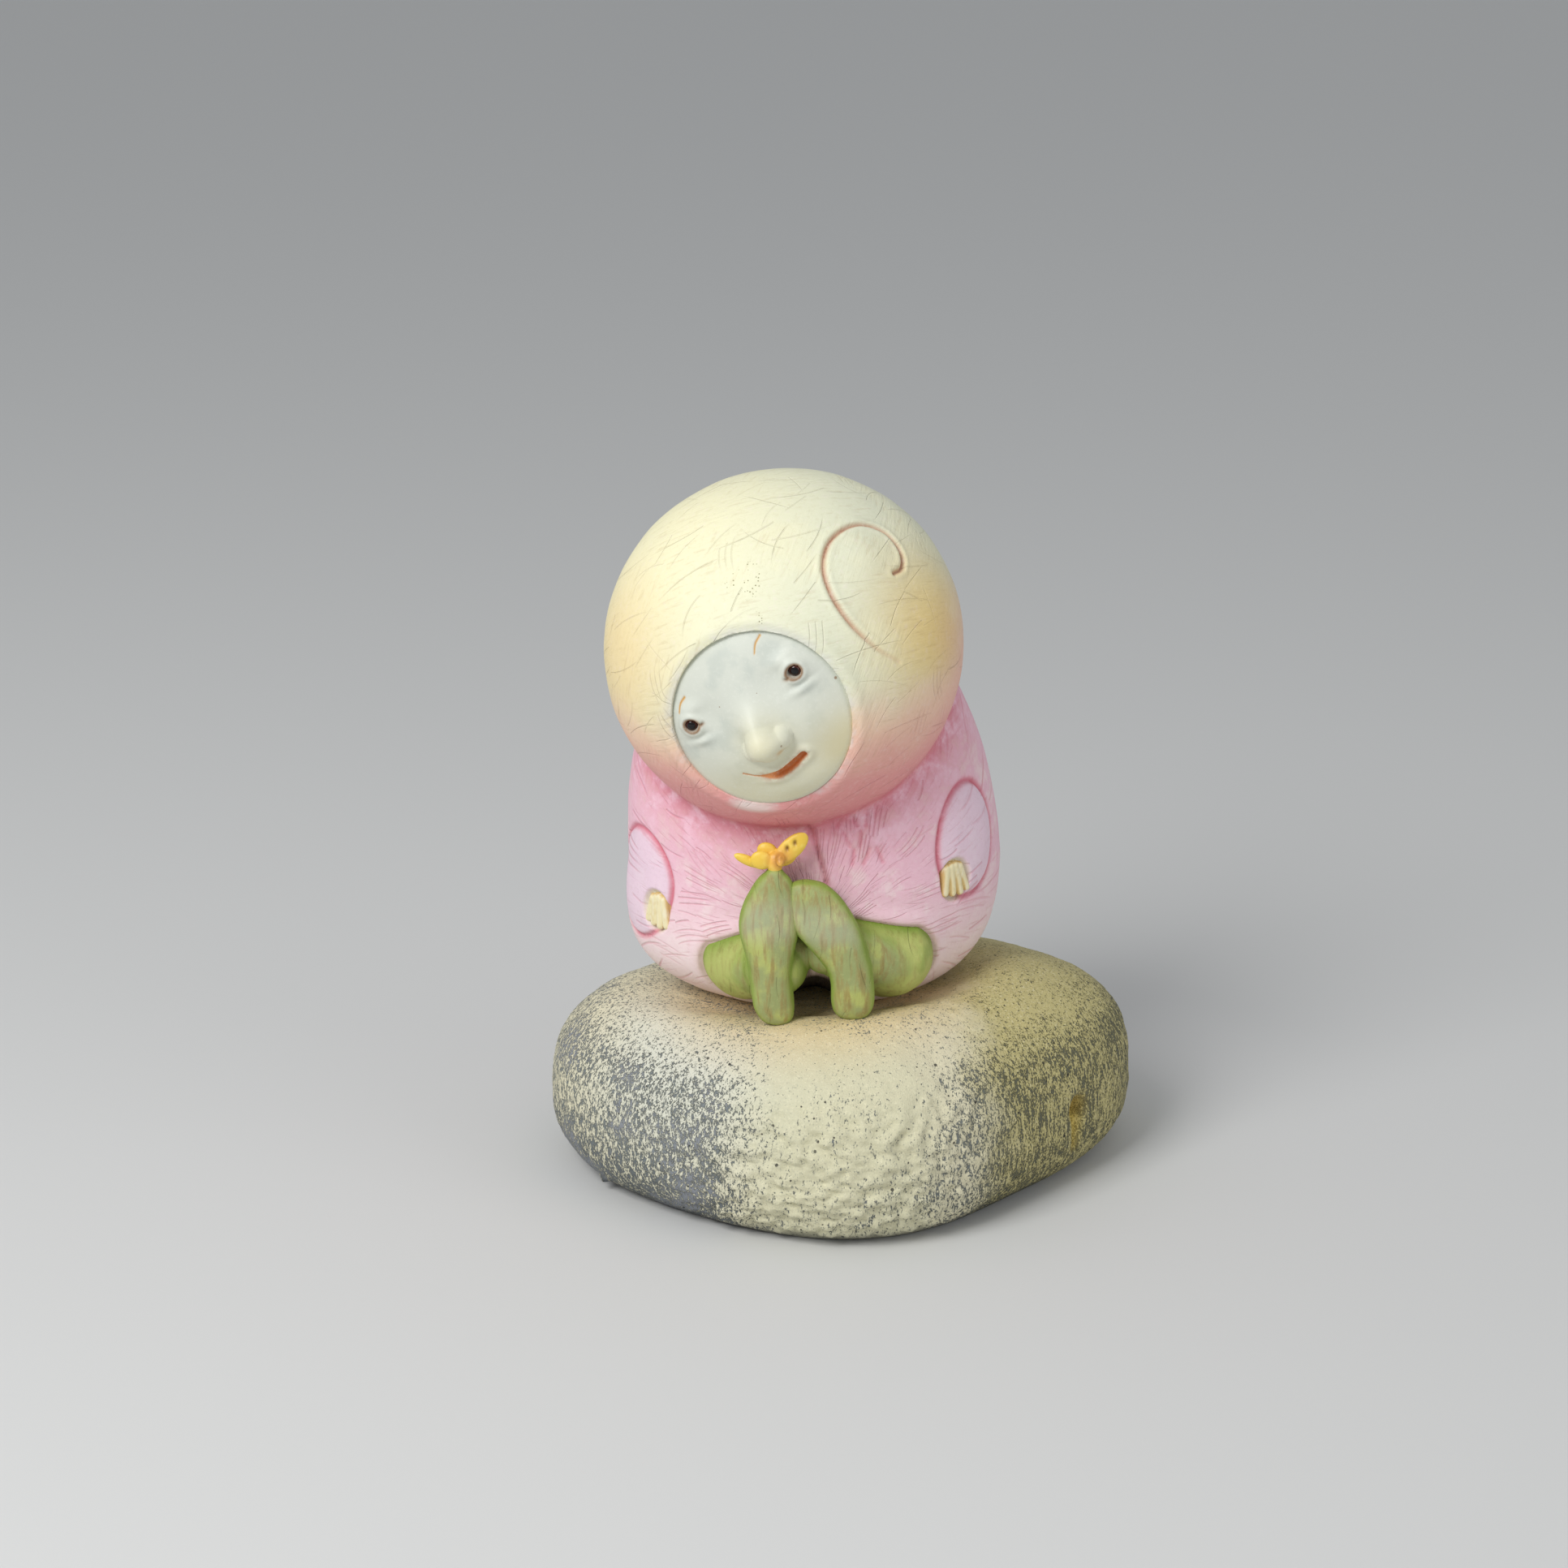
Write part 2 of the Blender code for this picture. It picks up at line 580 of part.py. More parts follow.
def make_eyes(material):
    """A glossy bead in each socket, clear of it all round."""
    for name, across in (("left_eye_bead", -EYE_SPREAD), ("right_eye_bead", EYE_SPREAD)):
        place = Matrix.Translation(face_point(across, EYE_HEIGHT, -EYE_SUNK))
        ellipsoid(name, place, (EYE_RADIUS,) * 3, material, 12, 8)


def make_butterfly(material):
    """Five soft lobes and a short body, sitting on the left toe's knob."""
    tip = toe_tip()
    butterfly = ellipsoid("butterfly", Matrix.Translation(tip + Vector((0, 0, TOE_KNOB + 0.0010))),
                          (BUTTERFLY_FOOT, BUTTERFLY_FOOT, 0.0040), material, 12, 8)
    place = Matrix.Translation(tip + Vector((0.0018, -0.0010, 0.0070))) @ Matrix.Rotation(math.radians(-60), 4, "X")
    sizes = (BUTTERFLY_BODY, BUTTERFLY_BODY, BUTTERFLY_BODY_LENGTH / 2)
    combine(butterfly, ellipsoid("butterfly_body", place, sizes, material, 8, 6), "UNION")
    for name, (offset, halves, turn) in LOBES.items():
        place = Matrix.Translation(tip + Vector(offset)) @ Matrix.Rotation(math.radians(turn), 4, "Y")
        sizes = (halves[0], WING_THICKNESS / 2, halves[1])
        combine(butterfly, ellipsoid(name, place, sizes, material, 12, 6), "UNION")
    knob = ellipsoid("toe_cutter", Matrix.Translation(tip), (TOE_KNOB + GAP,) * 3, material, 12, 8)
    combine(butterfly, knob, "DIFFERENCE")
    return butterfly


def main():
    clear_scene()
    paints = {
        "stone": paint("speckled_stoneware", (0.68, 0.66, 0.50), 0.75),
        "hood": paint("cream_hood", (0.86, 0.82, 0.60), 0.65),
        "robe": paint("pink_robe", (0.86, 0.55, 0.60), 0.65),
        "face": paint("white_face", (0.72, 0.76, 0.70), 0.55),
        "lips": paint("orange_lips", (0.65, 0.20, 0.06), 0.55),
        "fingers": paint("cream_fingers", (0.83, 0.72, 0.45), 0.60),
        "stockings": paint("green_stockings", (0.42, 0.48, 0.14), 0.60),
        "bead": paint("dark_bead", (0.04, 0.02, 0.02), 0.08),
        "butterfly": paint("yellow_butterfly", (0.90, 0.66, 0.10), 0.50),
    }
    make_stone(paints["stone"])
    make_figure(paints)
    make_eyes(paints["bead"])
    make_butterfly(paints["butterfly"])
    kept = bpy.data.collections.new("child_figurine")
    bpy.context.scene.collection.children.link(kept)
    for obj in list(bpy.data.objects):
        for home in list(obj.users_collection):
            home.objects.unlink(obj)
        kept.objects.link(obj)
        obj.data.shade_smooth()


if __name__ == "__main__":
    main()
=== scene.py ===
"""A painted clay child on a stone, dressed round the packed frame.

Metres, +Z up. The child looks towards -Y, and the stone stands on Z = 0.
"""

import math

import bpy
import numpy as np
from bpy.props import FloatProperty, FloatVectorProperty, PointerProperty
from bpy.types import Operator, Panel, PropertyGroup
from mathutils import Matrix, Vector


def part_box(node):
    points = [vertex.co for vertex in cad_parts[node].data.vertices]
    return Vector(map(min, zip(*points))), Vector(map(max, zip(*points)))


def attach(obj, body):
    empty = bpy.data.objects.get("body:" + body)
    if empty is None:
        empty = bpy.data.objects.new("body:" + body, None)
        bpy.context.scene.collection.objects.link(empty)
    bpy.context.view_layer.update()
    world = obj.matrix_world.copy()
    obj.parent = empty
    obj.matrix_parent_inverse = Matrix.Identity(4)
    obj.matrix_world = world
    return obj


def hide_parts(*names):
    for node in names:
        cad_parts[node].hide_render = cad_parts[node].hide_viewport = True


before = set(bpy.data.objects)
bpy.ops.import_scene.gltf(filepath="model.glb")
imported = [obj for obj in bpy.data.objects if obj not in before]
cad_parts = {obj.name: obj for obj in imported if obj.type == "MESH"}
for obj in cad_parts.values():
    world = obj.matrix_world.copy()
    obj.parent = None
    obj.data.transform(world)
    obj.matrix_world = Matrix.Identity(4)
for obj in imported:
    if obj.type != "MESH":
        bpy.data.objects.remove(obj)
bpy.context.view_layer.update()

bl_info = {
    "name": "Clay Child Figurine",
    "version": (1, 0, 0),
    "blender": (4, 5, 0),
    "location": "3D View > Sidebar > Figurine",
    "description": "A painted clay child on a stone, with a butterfly on one toe",
    "category": "Object",
}

BODY = "root"

# The forms below follow the solids' own, so that each piece lies on the solid it stands for

STONE_WIDTH, STONE_DEPTH = 0.2000, 0.1760
STONE_WAIST, STONE_RISE, STONE_DROP = 0.026, 0.047, 0.036
STONE_TOP_FULLNESS, STONE_FOOT_FULLNESS = 2.6, 2.9
STONE_TILT, STONE_FALL = 0.03, 0.0065
STONE_PLAN = ((1, 0.045, 112), (2, 0.069, 32), (3, 0.043, 94), (4, 0.028, 41))  # wave, share, degrees
DISH_HALF_WIDTH, DISH_HALF_DEPTH = 0.070, 0.062
PIT = ((0.0800, -0.0308, 0.0290), (0.0775, -0.0295, 0.0120))  # its top and the foot of its scar
PIT_RADIUS, PIT_DEPTH, SCAR_DEPTH = 0.0031, 0.0066, 0.0028
NUB = (-0.0814, -0.0360, 0.0045)
NUB_RADIUS, NUB_RISE = 0.0016, 0.0016
GRAIN_LEFT, GRAIN_RIGHT, GRAIN_TOP = -0.085, 0.062, 0.062  # where the coarse grain ends

SEAT_HEIGHT = 0.0615
BODY_X, BODY_Y = -0.0097, 0.010
BODY_HALF_WIDTH, BODY_HALF_DEPTH = 0.0633, 0.050
BODY_WAIST, BODY_RISE, BODY_DROP = 0.107, 0.101, 0.050
BODY_FULLNESS = 2.9
BODY_LEAN, BODY_SAG = -0.06, -0.035

HEAD_CENTRE = np.array((-0.0207, -0.015, 0.185))
HEAD_RADIUS = 0.0587
CROWN_TOWARDS = np.array((0.75, 0.20, 0.63)) / np.linalg.norm((0.75, 0.20, 0.63))
CROWN_SWELL = 0.033
FACE_AZIMUTH, FACE_ELEVATION, FACE_ROLL = -7.6, -11.0, 32.0
FACE_RADIUS = 0.0294
FACE_RECESS = 0.0022
EYE_SPREAD, EYE_HEIGHT = 0.0198, 0.0105
NOSE_HEIGHT = -0.0015
MOUTH = ((-0.0138, -0.0112), (-0.0107, -0.0140), (-0.0069, -0.0161), (-0.0030, -0.0170), (0.0018, -0.0162),
         (0.0070, -0.0147))
FACE_TALL = 1.07  # the face is a little taller than it is wide
BROWS = (((-0.0213, 0.0156), (-0.0169, 0.0193)), ((0.0114, 0.0213), (0.0155, 0.0250)))
NOSE = (  # height, place across and up from the nose, half width and half height
    (0.0082, -0.0002, -0.0024, 0.0063, 0.0070),  # the tip
    (0.0046, -0.0050, -0.0034, 0.0038, 0.0040),  # the wings
    (0.0048, 0.0050, -0.0034, 0.0039, 0.0041),
)
EYE_RELIEF = (  # height, place towards the nose and up from the eye, half width and half height
    (-0.0016, 0.0040, 0.0005, 0.0080, 0.0062),  # the socket
    (0.0028, 0.0, 0.0, 0.0052, 0.0046),  # the eyeball
    (0.0013, 0.0018, 0.0052, 0.0048, 0.0024),  # the upper lid
    (-0.0006, 0.0005, -0.0046, 0.0042, 0.0010),  # the crease below
    (0.0008, 0.0008, -0.0062, 0.0044, 0.0016),  # the swelling under it
)

CURL_AZIMUTH, CURL_ELEVATION = 33.0, 42.0
CURL = (
    (0.0116, -0.0057), (0.0160, -0.0038), (0.0180, 0.0020), (0.0150, 0.0096), (0.0060, 0.0130),
    (-0.0050, 0.0096), (-0.0118, 0.0015), (-0.0128, -0.0086), (-0.0092, -0.0188), (-0.0018, -0.0273),
    (0.0066, -0.0322),
)
CHEST_ROWS = (0.1335, 0.1268, 0.1208)
LAP_HOLLOW, LAP_HOLLOW_SIZE = (-0.0104, 0.0620), (0.0100, 0.0135)
ROBE_TOP = 0.205  # the robe inside the hood ends here
CHEST_FOLD = ((-0.5, 0.1330), (1.0, 0.1250), (3.0, 0.1150), (4.0, 0.1050))

SLEEVES = {
    "right": {"azimuth": 56.5, "height": 0.1200, "size": (0.0165, 0.0200), "turn": -28.0,
              "hand": (-0.0098, -0.0122), "point": 10.0},
    "left": {"azimuth": -68.0, "height": 0.1020, "size": (0.0215, 0.0190), "turn": 24.0,
             "hand": (0.0130, -0.0074), "point": -6.0},
}
SLEEVE_SWELL = 0.0012
POCKET_SIZE = (0.0072, 0.0078)
FINGERS = 4
FINGER_RADIUS, FINGER_LENGTH, FINGER_FAN = 0.0018, 0.0100, 9.0
FINGER_TAPER = 0.10

LEGS = {
    "left": ((-0.0292, -0.0250, 0.0818), (-0.0235, -0.0385, 0.0835)),
    "right": ((0.0125, -0.0250, 0.0832), (0.0005, -0.0370, 0.0885)),
}
HIP_RADIUS, ANKLE_RADIUS, HIP_WIDTH = 0.0155, 0.0115, 1.20
SOLE_Y, FOOT_THICKNESS, FOOT_FULLNESS = -0.0530, 0.0115, 3.1
FEET = {
    "left": {"heel": 0.0654, "toe": 0.1190, "line": (-0.0226, -0.0246, -0.0250, -0.0232),
             "half": (0.0090, 0.0071, 0.0101, 0.0078)},
    "right": {"heel": 0.0674, "toe": 0.1157, "line": (0.0025, 0.0016, -0.0066, -0.0128),
              "half": (0.0095, 0.0074, 0.0112, 0.0104)},
}
CALVES = {
    "left": ((-0.0175, -0.0385, 0.0870), (0.0078, 0.0062, 0.0078)),
    "right": ((-0.0060, -0.0385, 0.0885), (0.0085, 0.0066, 0.0085)),
}
TOE_KNOB = 0.0034
WING_THICKNESS = 0.0030
LOBES = {
    "right_wing": ((0.0054, 0.0000, 0.0096), (0.0070, 0.0035), -44.0),
    "right_hind_wing": ((0.0032, 0.0016, 0.0060), (0.0042, 0.0030), -25.0),
    "left_wing": ((-0.0024, 0.0020, 0.0078), (0.0036, 0.0030), 30.0),
    "left_front_wing": ((-0.0044, -0.0010, 0.0058), (0.0036, 0.0032), 20.0),
    "left_hind_wing": ((-0.0086, 0.0008, 0.0050), (0.0052, 0.0017), 24.0),
}

AIM = Vector((-0.0202, 0, 0.1335))  # what the camera and the lamps point at
LAMPS = {"key": ((-0.75, -0.95, 1.15), 0.75), "fill": ((1.20, -0.80, 0.55), 0.90)}  # place and width
SKY_COLOUR = (0.93, 0.96, 1.0)


def tint(red, green, blue):
    """A colour given on a screen, as the linear values that shaders use."""
    def linear(value):
        value /= 255
        return value / 12.92 if value <= 0.04045 else ((value + 0.055) / 1.055) ** 2.4
    return linear(red), linear(green), linear(blue)


def colour(name, description, red, green, blue):
    return FloatVectorProperty(name=name, description=description, subtype="COLOR", size=3,
                               default=tint(red, green, blue), min=0, max=1)


def length(name, description, default):
    return FloatProperty(name=name, description=description, default=default, min=0, unit="LENGTH",
                         precision=5)


class ClayForm(PropertyGroup):
    """Sizes of the marks cut and pressed in the clay."""

    mesh_step: length("Mesh step", "Distance between the figure's vertices", 0.00120)
    curl_depth: length("Curl depth", "Depth of the curl cut in the hood", 0.0013)
    curl_width: length("Curl width", "Half width of the curl's groove", 0.00065)
    sleeve_depth: length("Sleeve depth", "Depth of the groove round each sleeve", 0.0011)
    hem_proud: length("Hem", "How far the robe's edge stands off the leg", 0.0010)
    hem_depth: length("Hem groove", "Depth of the cut between the hem and the leg", 0.0014)
    fold_depth: length("Fold depth", "Depth of the fold down the chest", 0.0010)
    stroke_depth: length("Stroke depth", "Depth of the marks scratched in the chest", 0.0006)
    lap_hollow: length("Lap hollow", "Depth of the hollow under the legs", 0.0185)
    window_depth: length("Face window", "How deep the hood is opened behind the face", 0.0050)
    rim_round: length("Rim", "Width of the hood's rounded rim round the face", 0.0016)
    unevenness: length("Unevenness", "How far the hand-worked clay wavers", 0.0005)


class ClayPaint(PropertyGroup):
    """Washes of colour on the clay, with painted shade in the lap hollow and rubbed pale clay with a painted
    highlight along the face's rim.
    """

    pale: colour("Pale", "The hood's middle", 228, 229, 202)
    cream: colour("Cream", "The hood's upper left", 246, 240, 200)
    yellow: colour("Yellow", "The patch on the hood's right", 242, 208, 126)
    sand: colour("Sand", "The hood's left edge", 242, 214, 154)
    peach: colour("Peach", "Where the hood turns from cream to pink", 242, 205, 178)
    blush: colour("Blush", "The hood's lower half", 232, 160, 158)
    rose: colour("Rose", "Under the hood and in the marks", 210, 104, 122)
    pink: colour("Pink", "The robe", 240, 194, 208)
    milk: colour("Milk", "The robe's lower part", 248, 230, 228)
    lilac: colour("Lilac", "The sleeves", 236, 212, 226)
    umber: colour("Umber", "Pigment left in the scratches of the hood", 176, 142, 92)
    olive: colour("Olive", "Specks on the hood", 112, 104, 44)
    # Painted shade: a near-black that stands in for the shade inside the hollow under the lap.
    painted_lap_shade: colour("Soot", "Inside the hollow under the lap", 26, 20, 16)
    # Rubbed also paints a highlight: the pale band on the rolled rim round the face is partly rubbed clay and
    # partly painted highlight.
    rubbed: colour("Rubbed", "The worn rim round the face", 224, 224, 222)
    smear: colour("Smear", "The pale smear under the chin", 240, 236, 228)


class FacePaint(PropertyGroup):
    """Colours of the face and its beads."""

    skin: colour("Skin", "The face", 214, 217, 205)
    # Shade gives cool patches, and painted shade round the face's rim.
    shade: colour("Shade", "The hollows round the eyes", 190, 197, 188)
    warm: colour("Warm", "The nose and the chin", 234, 227, 190)
    lip: colour("Lip", "The lips and inside the mouth", 178, 70, 26)
    brow: colour("Brow", "The brow marks", 206, 148, 48)
    lid: colour("Lid", "The line round each bead", 138, 98, 60)
    bead: colour("Bead", "The middle of each bead", 14, 8, 10)
    iris: colour("Iris", "The ring of each bead", 74, 30, 22)
    mouth: colour("Mouth", "The mouth's edge", 226, 150, 92)
    bloom: colour("Bloom", "Fine pale grain", 240, 240, 232)
    cheek: colour("Cheek", "The warm patch on the left cheek", 222, 206, 150)


class HandPaint(PropertyGroup):
    """Colours of the fingers."""

    butter: colour("Butter", "The fingers", 240, 228, 184)
    ochre: colour("Ochre", "Between the fingers", 216, 180, 108)
    straw: colour("Straw", "Warmer patches", 224, 200, 140)
    light: colour("Light", "Streaks along the fingers", 248, 242, 220)


class StockingPaint(PropertyGroup):
    """Colours of the legs and feet."""

    leaf: colour("Leaf", "The legs", 182, 188, 108)
    moss: colour("Moss", "The edges of the feet and the hems", 118, 148, 46)
    sage: colour("Sage", "The soles", 150, 158, 108)
    ochre: colour("Ochre", "Streaks on the soles", 158, 136, 80)
    worn: colour("Worn", "Where the ball of the foot is rubbed pale", 206, 206, 196)
    bark: colour("Bark", "Dark streaks", 108, 98, 44)
    pith: colour("Pith", "Fine pale grain", 214, 218, 150)
    nick: colour("Nick", "Scratches", 110, 104, 50)


class StonePaint(PropertyGroup):
    """Colours of the stone."""

    crust: colour("Crust", "The cream skin of the stone", 224, 217, 186)
    chalk: colour("Chalk", "The paler skin at the upper left", 216, 219, 208)
    slate: colour("Slate", "The dark clay under the skin", 118, 125, 126)
    # The right side's straw, lichen and reed are its own olive skin and partly painted shade, darker on the
    # side away from the key light.
    straw: colour("Straw", "The skin on the right", 190, 178, 110)
    glow: colour("Glow", "The warm stain under the child", 218, 180, 104)
    iron: colour("Iron", "Specks of iron", 34, 32, 36)
    bone: colour("Bone", "The grainy skin at the front", 206, 204, 172)
    light: colour("Light", "Fine pale grain", 246, 240, 206)
    # Deep darkens the slate towards the foot, partly as painted shade.
    deep: colour("Deep", "The dark clay near the foot", 64, 72, 84)
    haze: colour("Haze", "Lilac grey patches on the left", 150, 153, 164)
    lichen: colour("Lichen", "The dark clay on the right", 84, 84, 60)
    ash: colour("Ash", "The half-worn skin", 158, 160, 146)
    reed: colour("Reed", "The half-worn skin on the right", 150, 142, 92)
    # Painted shade: the dark line where the stone meets the floor.
    painted_foot_shade: colour("Ground", "The line at the stone's foot", 70, 74, 78)
    scar: colour("Scar", "The pit's scar", 224, 198, 104)
    hole: colour("Hole", "Inside the pit", 132, 98, 28)


class ButterflyPaint(PropertyGroup):
    """Colours of the butterfly."""

    wing: colour("Wing", "The wings", 240, 202, 74)
    inner: colour("Inner", "The wings' inner parts", 236, 162, 84)
    body: colour("Body", "The butterfly's body and spots", 96, 48, 18)
    lemon: colour("Lemon", "Paler patches on the wings", 252, 226, 110)


class StageSetup(PropertyGroup):
    """The floor, the light and the camera."""

    floor: colour("Floor", "The plain floor", 214, 214, 212)
    key: FloatProperty(name="Key", description="Power of the large light at the upper left", default=17,
                       min=0, unit="POWER")
    fill: FloatProperty(name="Fill", description="Power of the light on the right", default=3, min=0,
                        unit="POWER")
    sky: FloatProperty(name="Sky", description="Strength of the light from all round", default=0.44, min=0)
    eye_distance: length("Eye distance", "From the camera to the middle of the view", 1.30)
    eye_elevation: FloatProperty(name="Elevation", description="How far the camera looks down",
                                 default=math.radians(18), subtype="ANGLE")
    lens: FloatProperty(name="Lens", description="Focal length on a 36 mm sensor", default=88.658, min=1,
                        unit="CAMERA")


PROPERTY_GROUPS = {
    "clay_form": ClayForm,
    "clay_paint": ClayPaint,
    "face_paint": FacePaint,
    "hand_paint": HandPaint,
    "stocking_paint": StockingPaint,
    "stone_paint": StonePaint,
    "butterfly_paint": ButterflyPaint,
    "stage_setup": StageSetup,
}


# Shader maths

class Wire:
    """A socket of a node, for use in a Python expression."""

    def __init__(self, finish, socket):
        self.finish = finish
        self.socket = socket

    def __add__(self, other):
        return self.finish.maths("ADD", self, other)

    def __sub__(self, other):
        return self.finish.maths("SUBTRACT", self, other)

    def __rsub__(self, other):
        return self.finish.maths("SUBTRACT", other, self)

    def __mul__(self, other):
        return self.finish.maths("MULTIPLY", self, other)

    def __truediv__(self, other):
        return self.finish.maths("DIVIDE", self, other)

    def __abs__(self):
        return self.finish.maths("ABSOLUTE", self)

    def __rtruediv__(self, other):
        return self.finish.maths("DIVIDE", other, self)

    __radd__ = __add__
    __rmul__ = __mul__


class Finish:
    """A material under construction: a Principled BSDF and the nodes that feed it."""

    def __init__(self, name, **fixed):
        self.material = bpy.data.materials.new(name)
        self.material.use_nodes = True
        self.tree = self.material.node_tree
        self.shader = self.tree.nodes["Principled BSDF"]
        for socket, value in fixed.items():
            self.shader.inputs[socket.replace("_", " ")].default_value = value
        self.place = self.node("ShaderNodeTexCoord", output="Object")

    def node(self, kind, settings=None, sockets=None, output=0):
        """Adds a node with its settings, then its sockets' values or links, and returns one output."""
        node = self.tree.nodes.new(kind)
        for key, value in (settings or {}).items():
            setattr(node, key, value)
        for key, value in (sockets or {}).items():
            socket = node.inputs[key]
            if isinstance(value, Wire):
                self.tree.links.new(value.socket, socket)
            elif socket.type == "RGBA":
                socket.default_value = (*value[:3], 1)
            else:
                socket.default_value = value
        return Wire(self, node.outputs[output])

    def maths(self, operation, *values):
        return self.node("ShaderNodeMath", {"operation": operation}, dict(enumerate(values)))

    def vectors(self, operation, *values, output=0):
        return self.node("ShaderNodeVectorMath", {"operation": operation}, dict(enumerate(values)), output)

    def ramp(self, value, start, end):
        """A smooth step from 0 at start to 1 at end."""
        if start > end:
            return 1 - self.ramp(value, end, start)
        return self.node("ShaderNodeMapRange", {"interpolation_type": "SMOOTHSTEP"},
                         {"Value": value, "From Min": start, "From Max": end})

    def mix(self, first, second, factor):
        return self.node("ShaderNodeMix", {"data_type": "RGBA"}, {0: factor, 6: first, 7: second}, 2)

    def noise(self, size, place=None, detail=2.0, roughness=0.5):
        """Soft noise from about 0.2 to 0.8, with features of about that size in metres."""
        return self.node("ShaderNodeTexNoise", None, {
            "Vector": place or self.place, "Scale": 1 / size, "Detail": detail, "Roughness": roughness})

    def mapped(self, place, scale, turn=(0, 0, 0)):
        return self.node("ShaderNodeMapping", None, {
            "Vector": place, "Scale": scale, "Rotation": tuple(math.radians(a) for a in turn)})

    def attribute(self, name):
        return self.node("ShaderNodeAttribute", {"attribute_name": name}, None, "Fac")

    def part(self, vector, axis):
        return self.node("ShaderNodeSeparateXYZ", None, {0: vector}, axis)

    def joined(self, x, y, z=0.0):
        return self.node("ShaderNodeCombineXYZ", None, {0: x, 1: y, 2: z})

    def spot(self, centre, inner, outer, squash=(1, 1, 1)):
        """1 within inner of a place, fading to 0 at outer."""
        away = self.vectors("MULTIPLY", self.vectors("SUBTRACT", self.place, centre), squash)
        return self.ramp(self.vectors("LENGTH", away, output="Value"), outer, inner)

    def strokes(self, across, along, cell, half_length, width, lean, spread, seed, rows=1, pitch=0.0012,
                keep=0.5):
        """Short scratches, in rows side by side in each cell, as 1 on a scratch.

        Lean and spread are in degrees, and keep is the share of the cells that have one.
        """
        place = self.joined(across / cell + seed, along / cell)
        sockets = {"Vector": place, "Scale": 1.0}
        nearest, chance = (
            self.node("ShaderNodeTexVoronoi", {"voronoi_dimensions": "2D"}, sockets, output)
            for output in ("Position", "Color"))
        away = self.vectors("SCALE", self.vectors("SUBTRACT", place, nearest))
        away.socket.node.inputs["Scale"].default_value = cell
        x, y = self.part(away, 0), self.part(away, 1)
        angle = (self.part(chance, 0) - 0.5) * math.radians(spread) + math.radians(lean)
        cos, sin = self.maths("COSINE", angle), self.maths("SINE", angle)
        run = x * cos + y * sin
        off = y * cos - x * sin + run * run * (self.part(chance, 2) - 0.5) * (0.6 / half_length)
        line = off - self.maths("ROUND", off / pitch) * pitch if rows > 1 else off
        mark = self.ramp(abs(line), width, width * 0.1) * self.ramp(abs(run), half_length, half_length * 0.35)
        mark = mark * self.ramp(abs(off), pitch * rows / 2 + width, pitch * rows / 2)
        mark = mark * (0.4 + self.part(chance, 0) * 0.6)
        return mark * self.ramp(self.part(chance, 1), 1 - keep, 1 - keep + 0.1)

    def specks(self, size, share, radius):
        """Round specks: one in a share of the cells of that size."""
        sockets = {"Vector": self.place, "Scale": 1 / size}
        away = self.node("ShaderNodeTexVoronoi", None, sockets, "Distance")
        chance = self.part(self.node("ShaderNodeTexVoronoi", None, sockets, "Color"), 0)
        chosen = self.ramp(chance, 1 - share, 1 - share + 0.02)
        return self.ramp(away, radius / size, radius / size * 0.6) * chosen

    def finished(self, base, roughness=None, height=None, depth=0.001):
        """Feeds the shader, with a bump from a height in shares of a depth in metres."""
        self.tree.links.new(base.socket, self.shader.inputs["Base Color"])
        if roughness is not None:
            self.tree.links.new(roughness.socket, self.shader.inputs["Roughness"])
        if height is not None:
            normal = self.node("ShaderNodeBump", None, {"Height": height, "Distance": depth})
            self.tree.links.new(normal.socket, self.shader.inputs["Normal"])
        return self.material


# Mesh tools

def deselect():
    bpy.ops.object.select_all(action="DESELECT")


def only(obj):
    """Selects one object and makes it active."""
    deselect()
    obj.select_set(True)
    bpy.context.view_layer.objects.active = obj


def ball(name, segments, rings):
    """A sphere of radius 1 at the origin, with its poles on Z."""
    deselect()
    bpy.ops.mesh.primitive_uv_sphere_add(segments=segments, ring_count=rings, radius=1.0)
    obj = bpy.context.object
    obj.name = obj.data.name = name
    return obj


def read_points(obj, field="co"):
    """The mesh's vertex places or normals, one row each."""
    values = np.empty(len(obj.data.vertices) * 3, dtype=np.float32)
    obj.data.vertices.foreach_get(field, values)
    return values.reshape(-1, 3).astype(float)


def write_points(obj, points):
    obj.data.vertices.foreach_set("co", points.astype(np.float32).ravel())
    obj.data.update()


def shape(obj, form):
    """Moves every vertex to where form puts it."""
    write_points(obj, form(read_points(obj)))
    return obj


def store(obj, name, values):
    """Keeps a value at each vertex, for the material to read."""
    attribute = obj.data.attributes.get(name) or obj.data.attributes.new(name, "FLOAT", "POINT")
    attribute.data.foreach_set("value", np.asarray(values, dtype=np.float32))


def modify(obj, kind, **settings):
    """Adds a modifier and applies it."""
    only(obj)
    modifier = obj.modifiers.new(kind.title(), kind)
    for key, value in settings.items():
        setattr(modifier, key, value)
    bpy.ops.object.modifier_apply(modifier=modifier.name)


def join(name, pieces):
    deselect()
    for piece in pieces:
        piece.select_set(True)
    bpy.context.view_layer.objects.active = pieces[0]
    bpy.ops.object.join()
    pieces[0].name = pieces[0].data.name = name
    return pieces[0]


def fuse(name, pieces, step):
    """Melts overlapping shapes into one skin of that mesh step."""
    whole = join(name, pieces)
    modify(whole, "REMESH", mode="VOXEL", voxel_size=step, adaptivity=0.0)
    return whole


def weigh(obj, name, weights):
    """A vertex group with a weight for each vertex, in a few even steps."""
    group = obj.vertex_groups.new(name=name)
    steps = np.round(np.clip(weights, 0, 1) * 20).astype(int)
    for step in range(1, 21):
        group.add(np.flatnonzero(steps == step).tolist(), step / 20, "REPLACE")
    return group.name


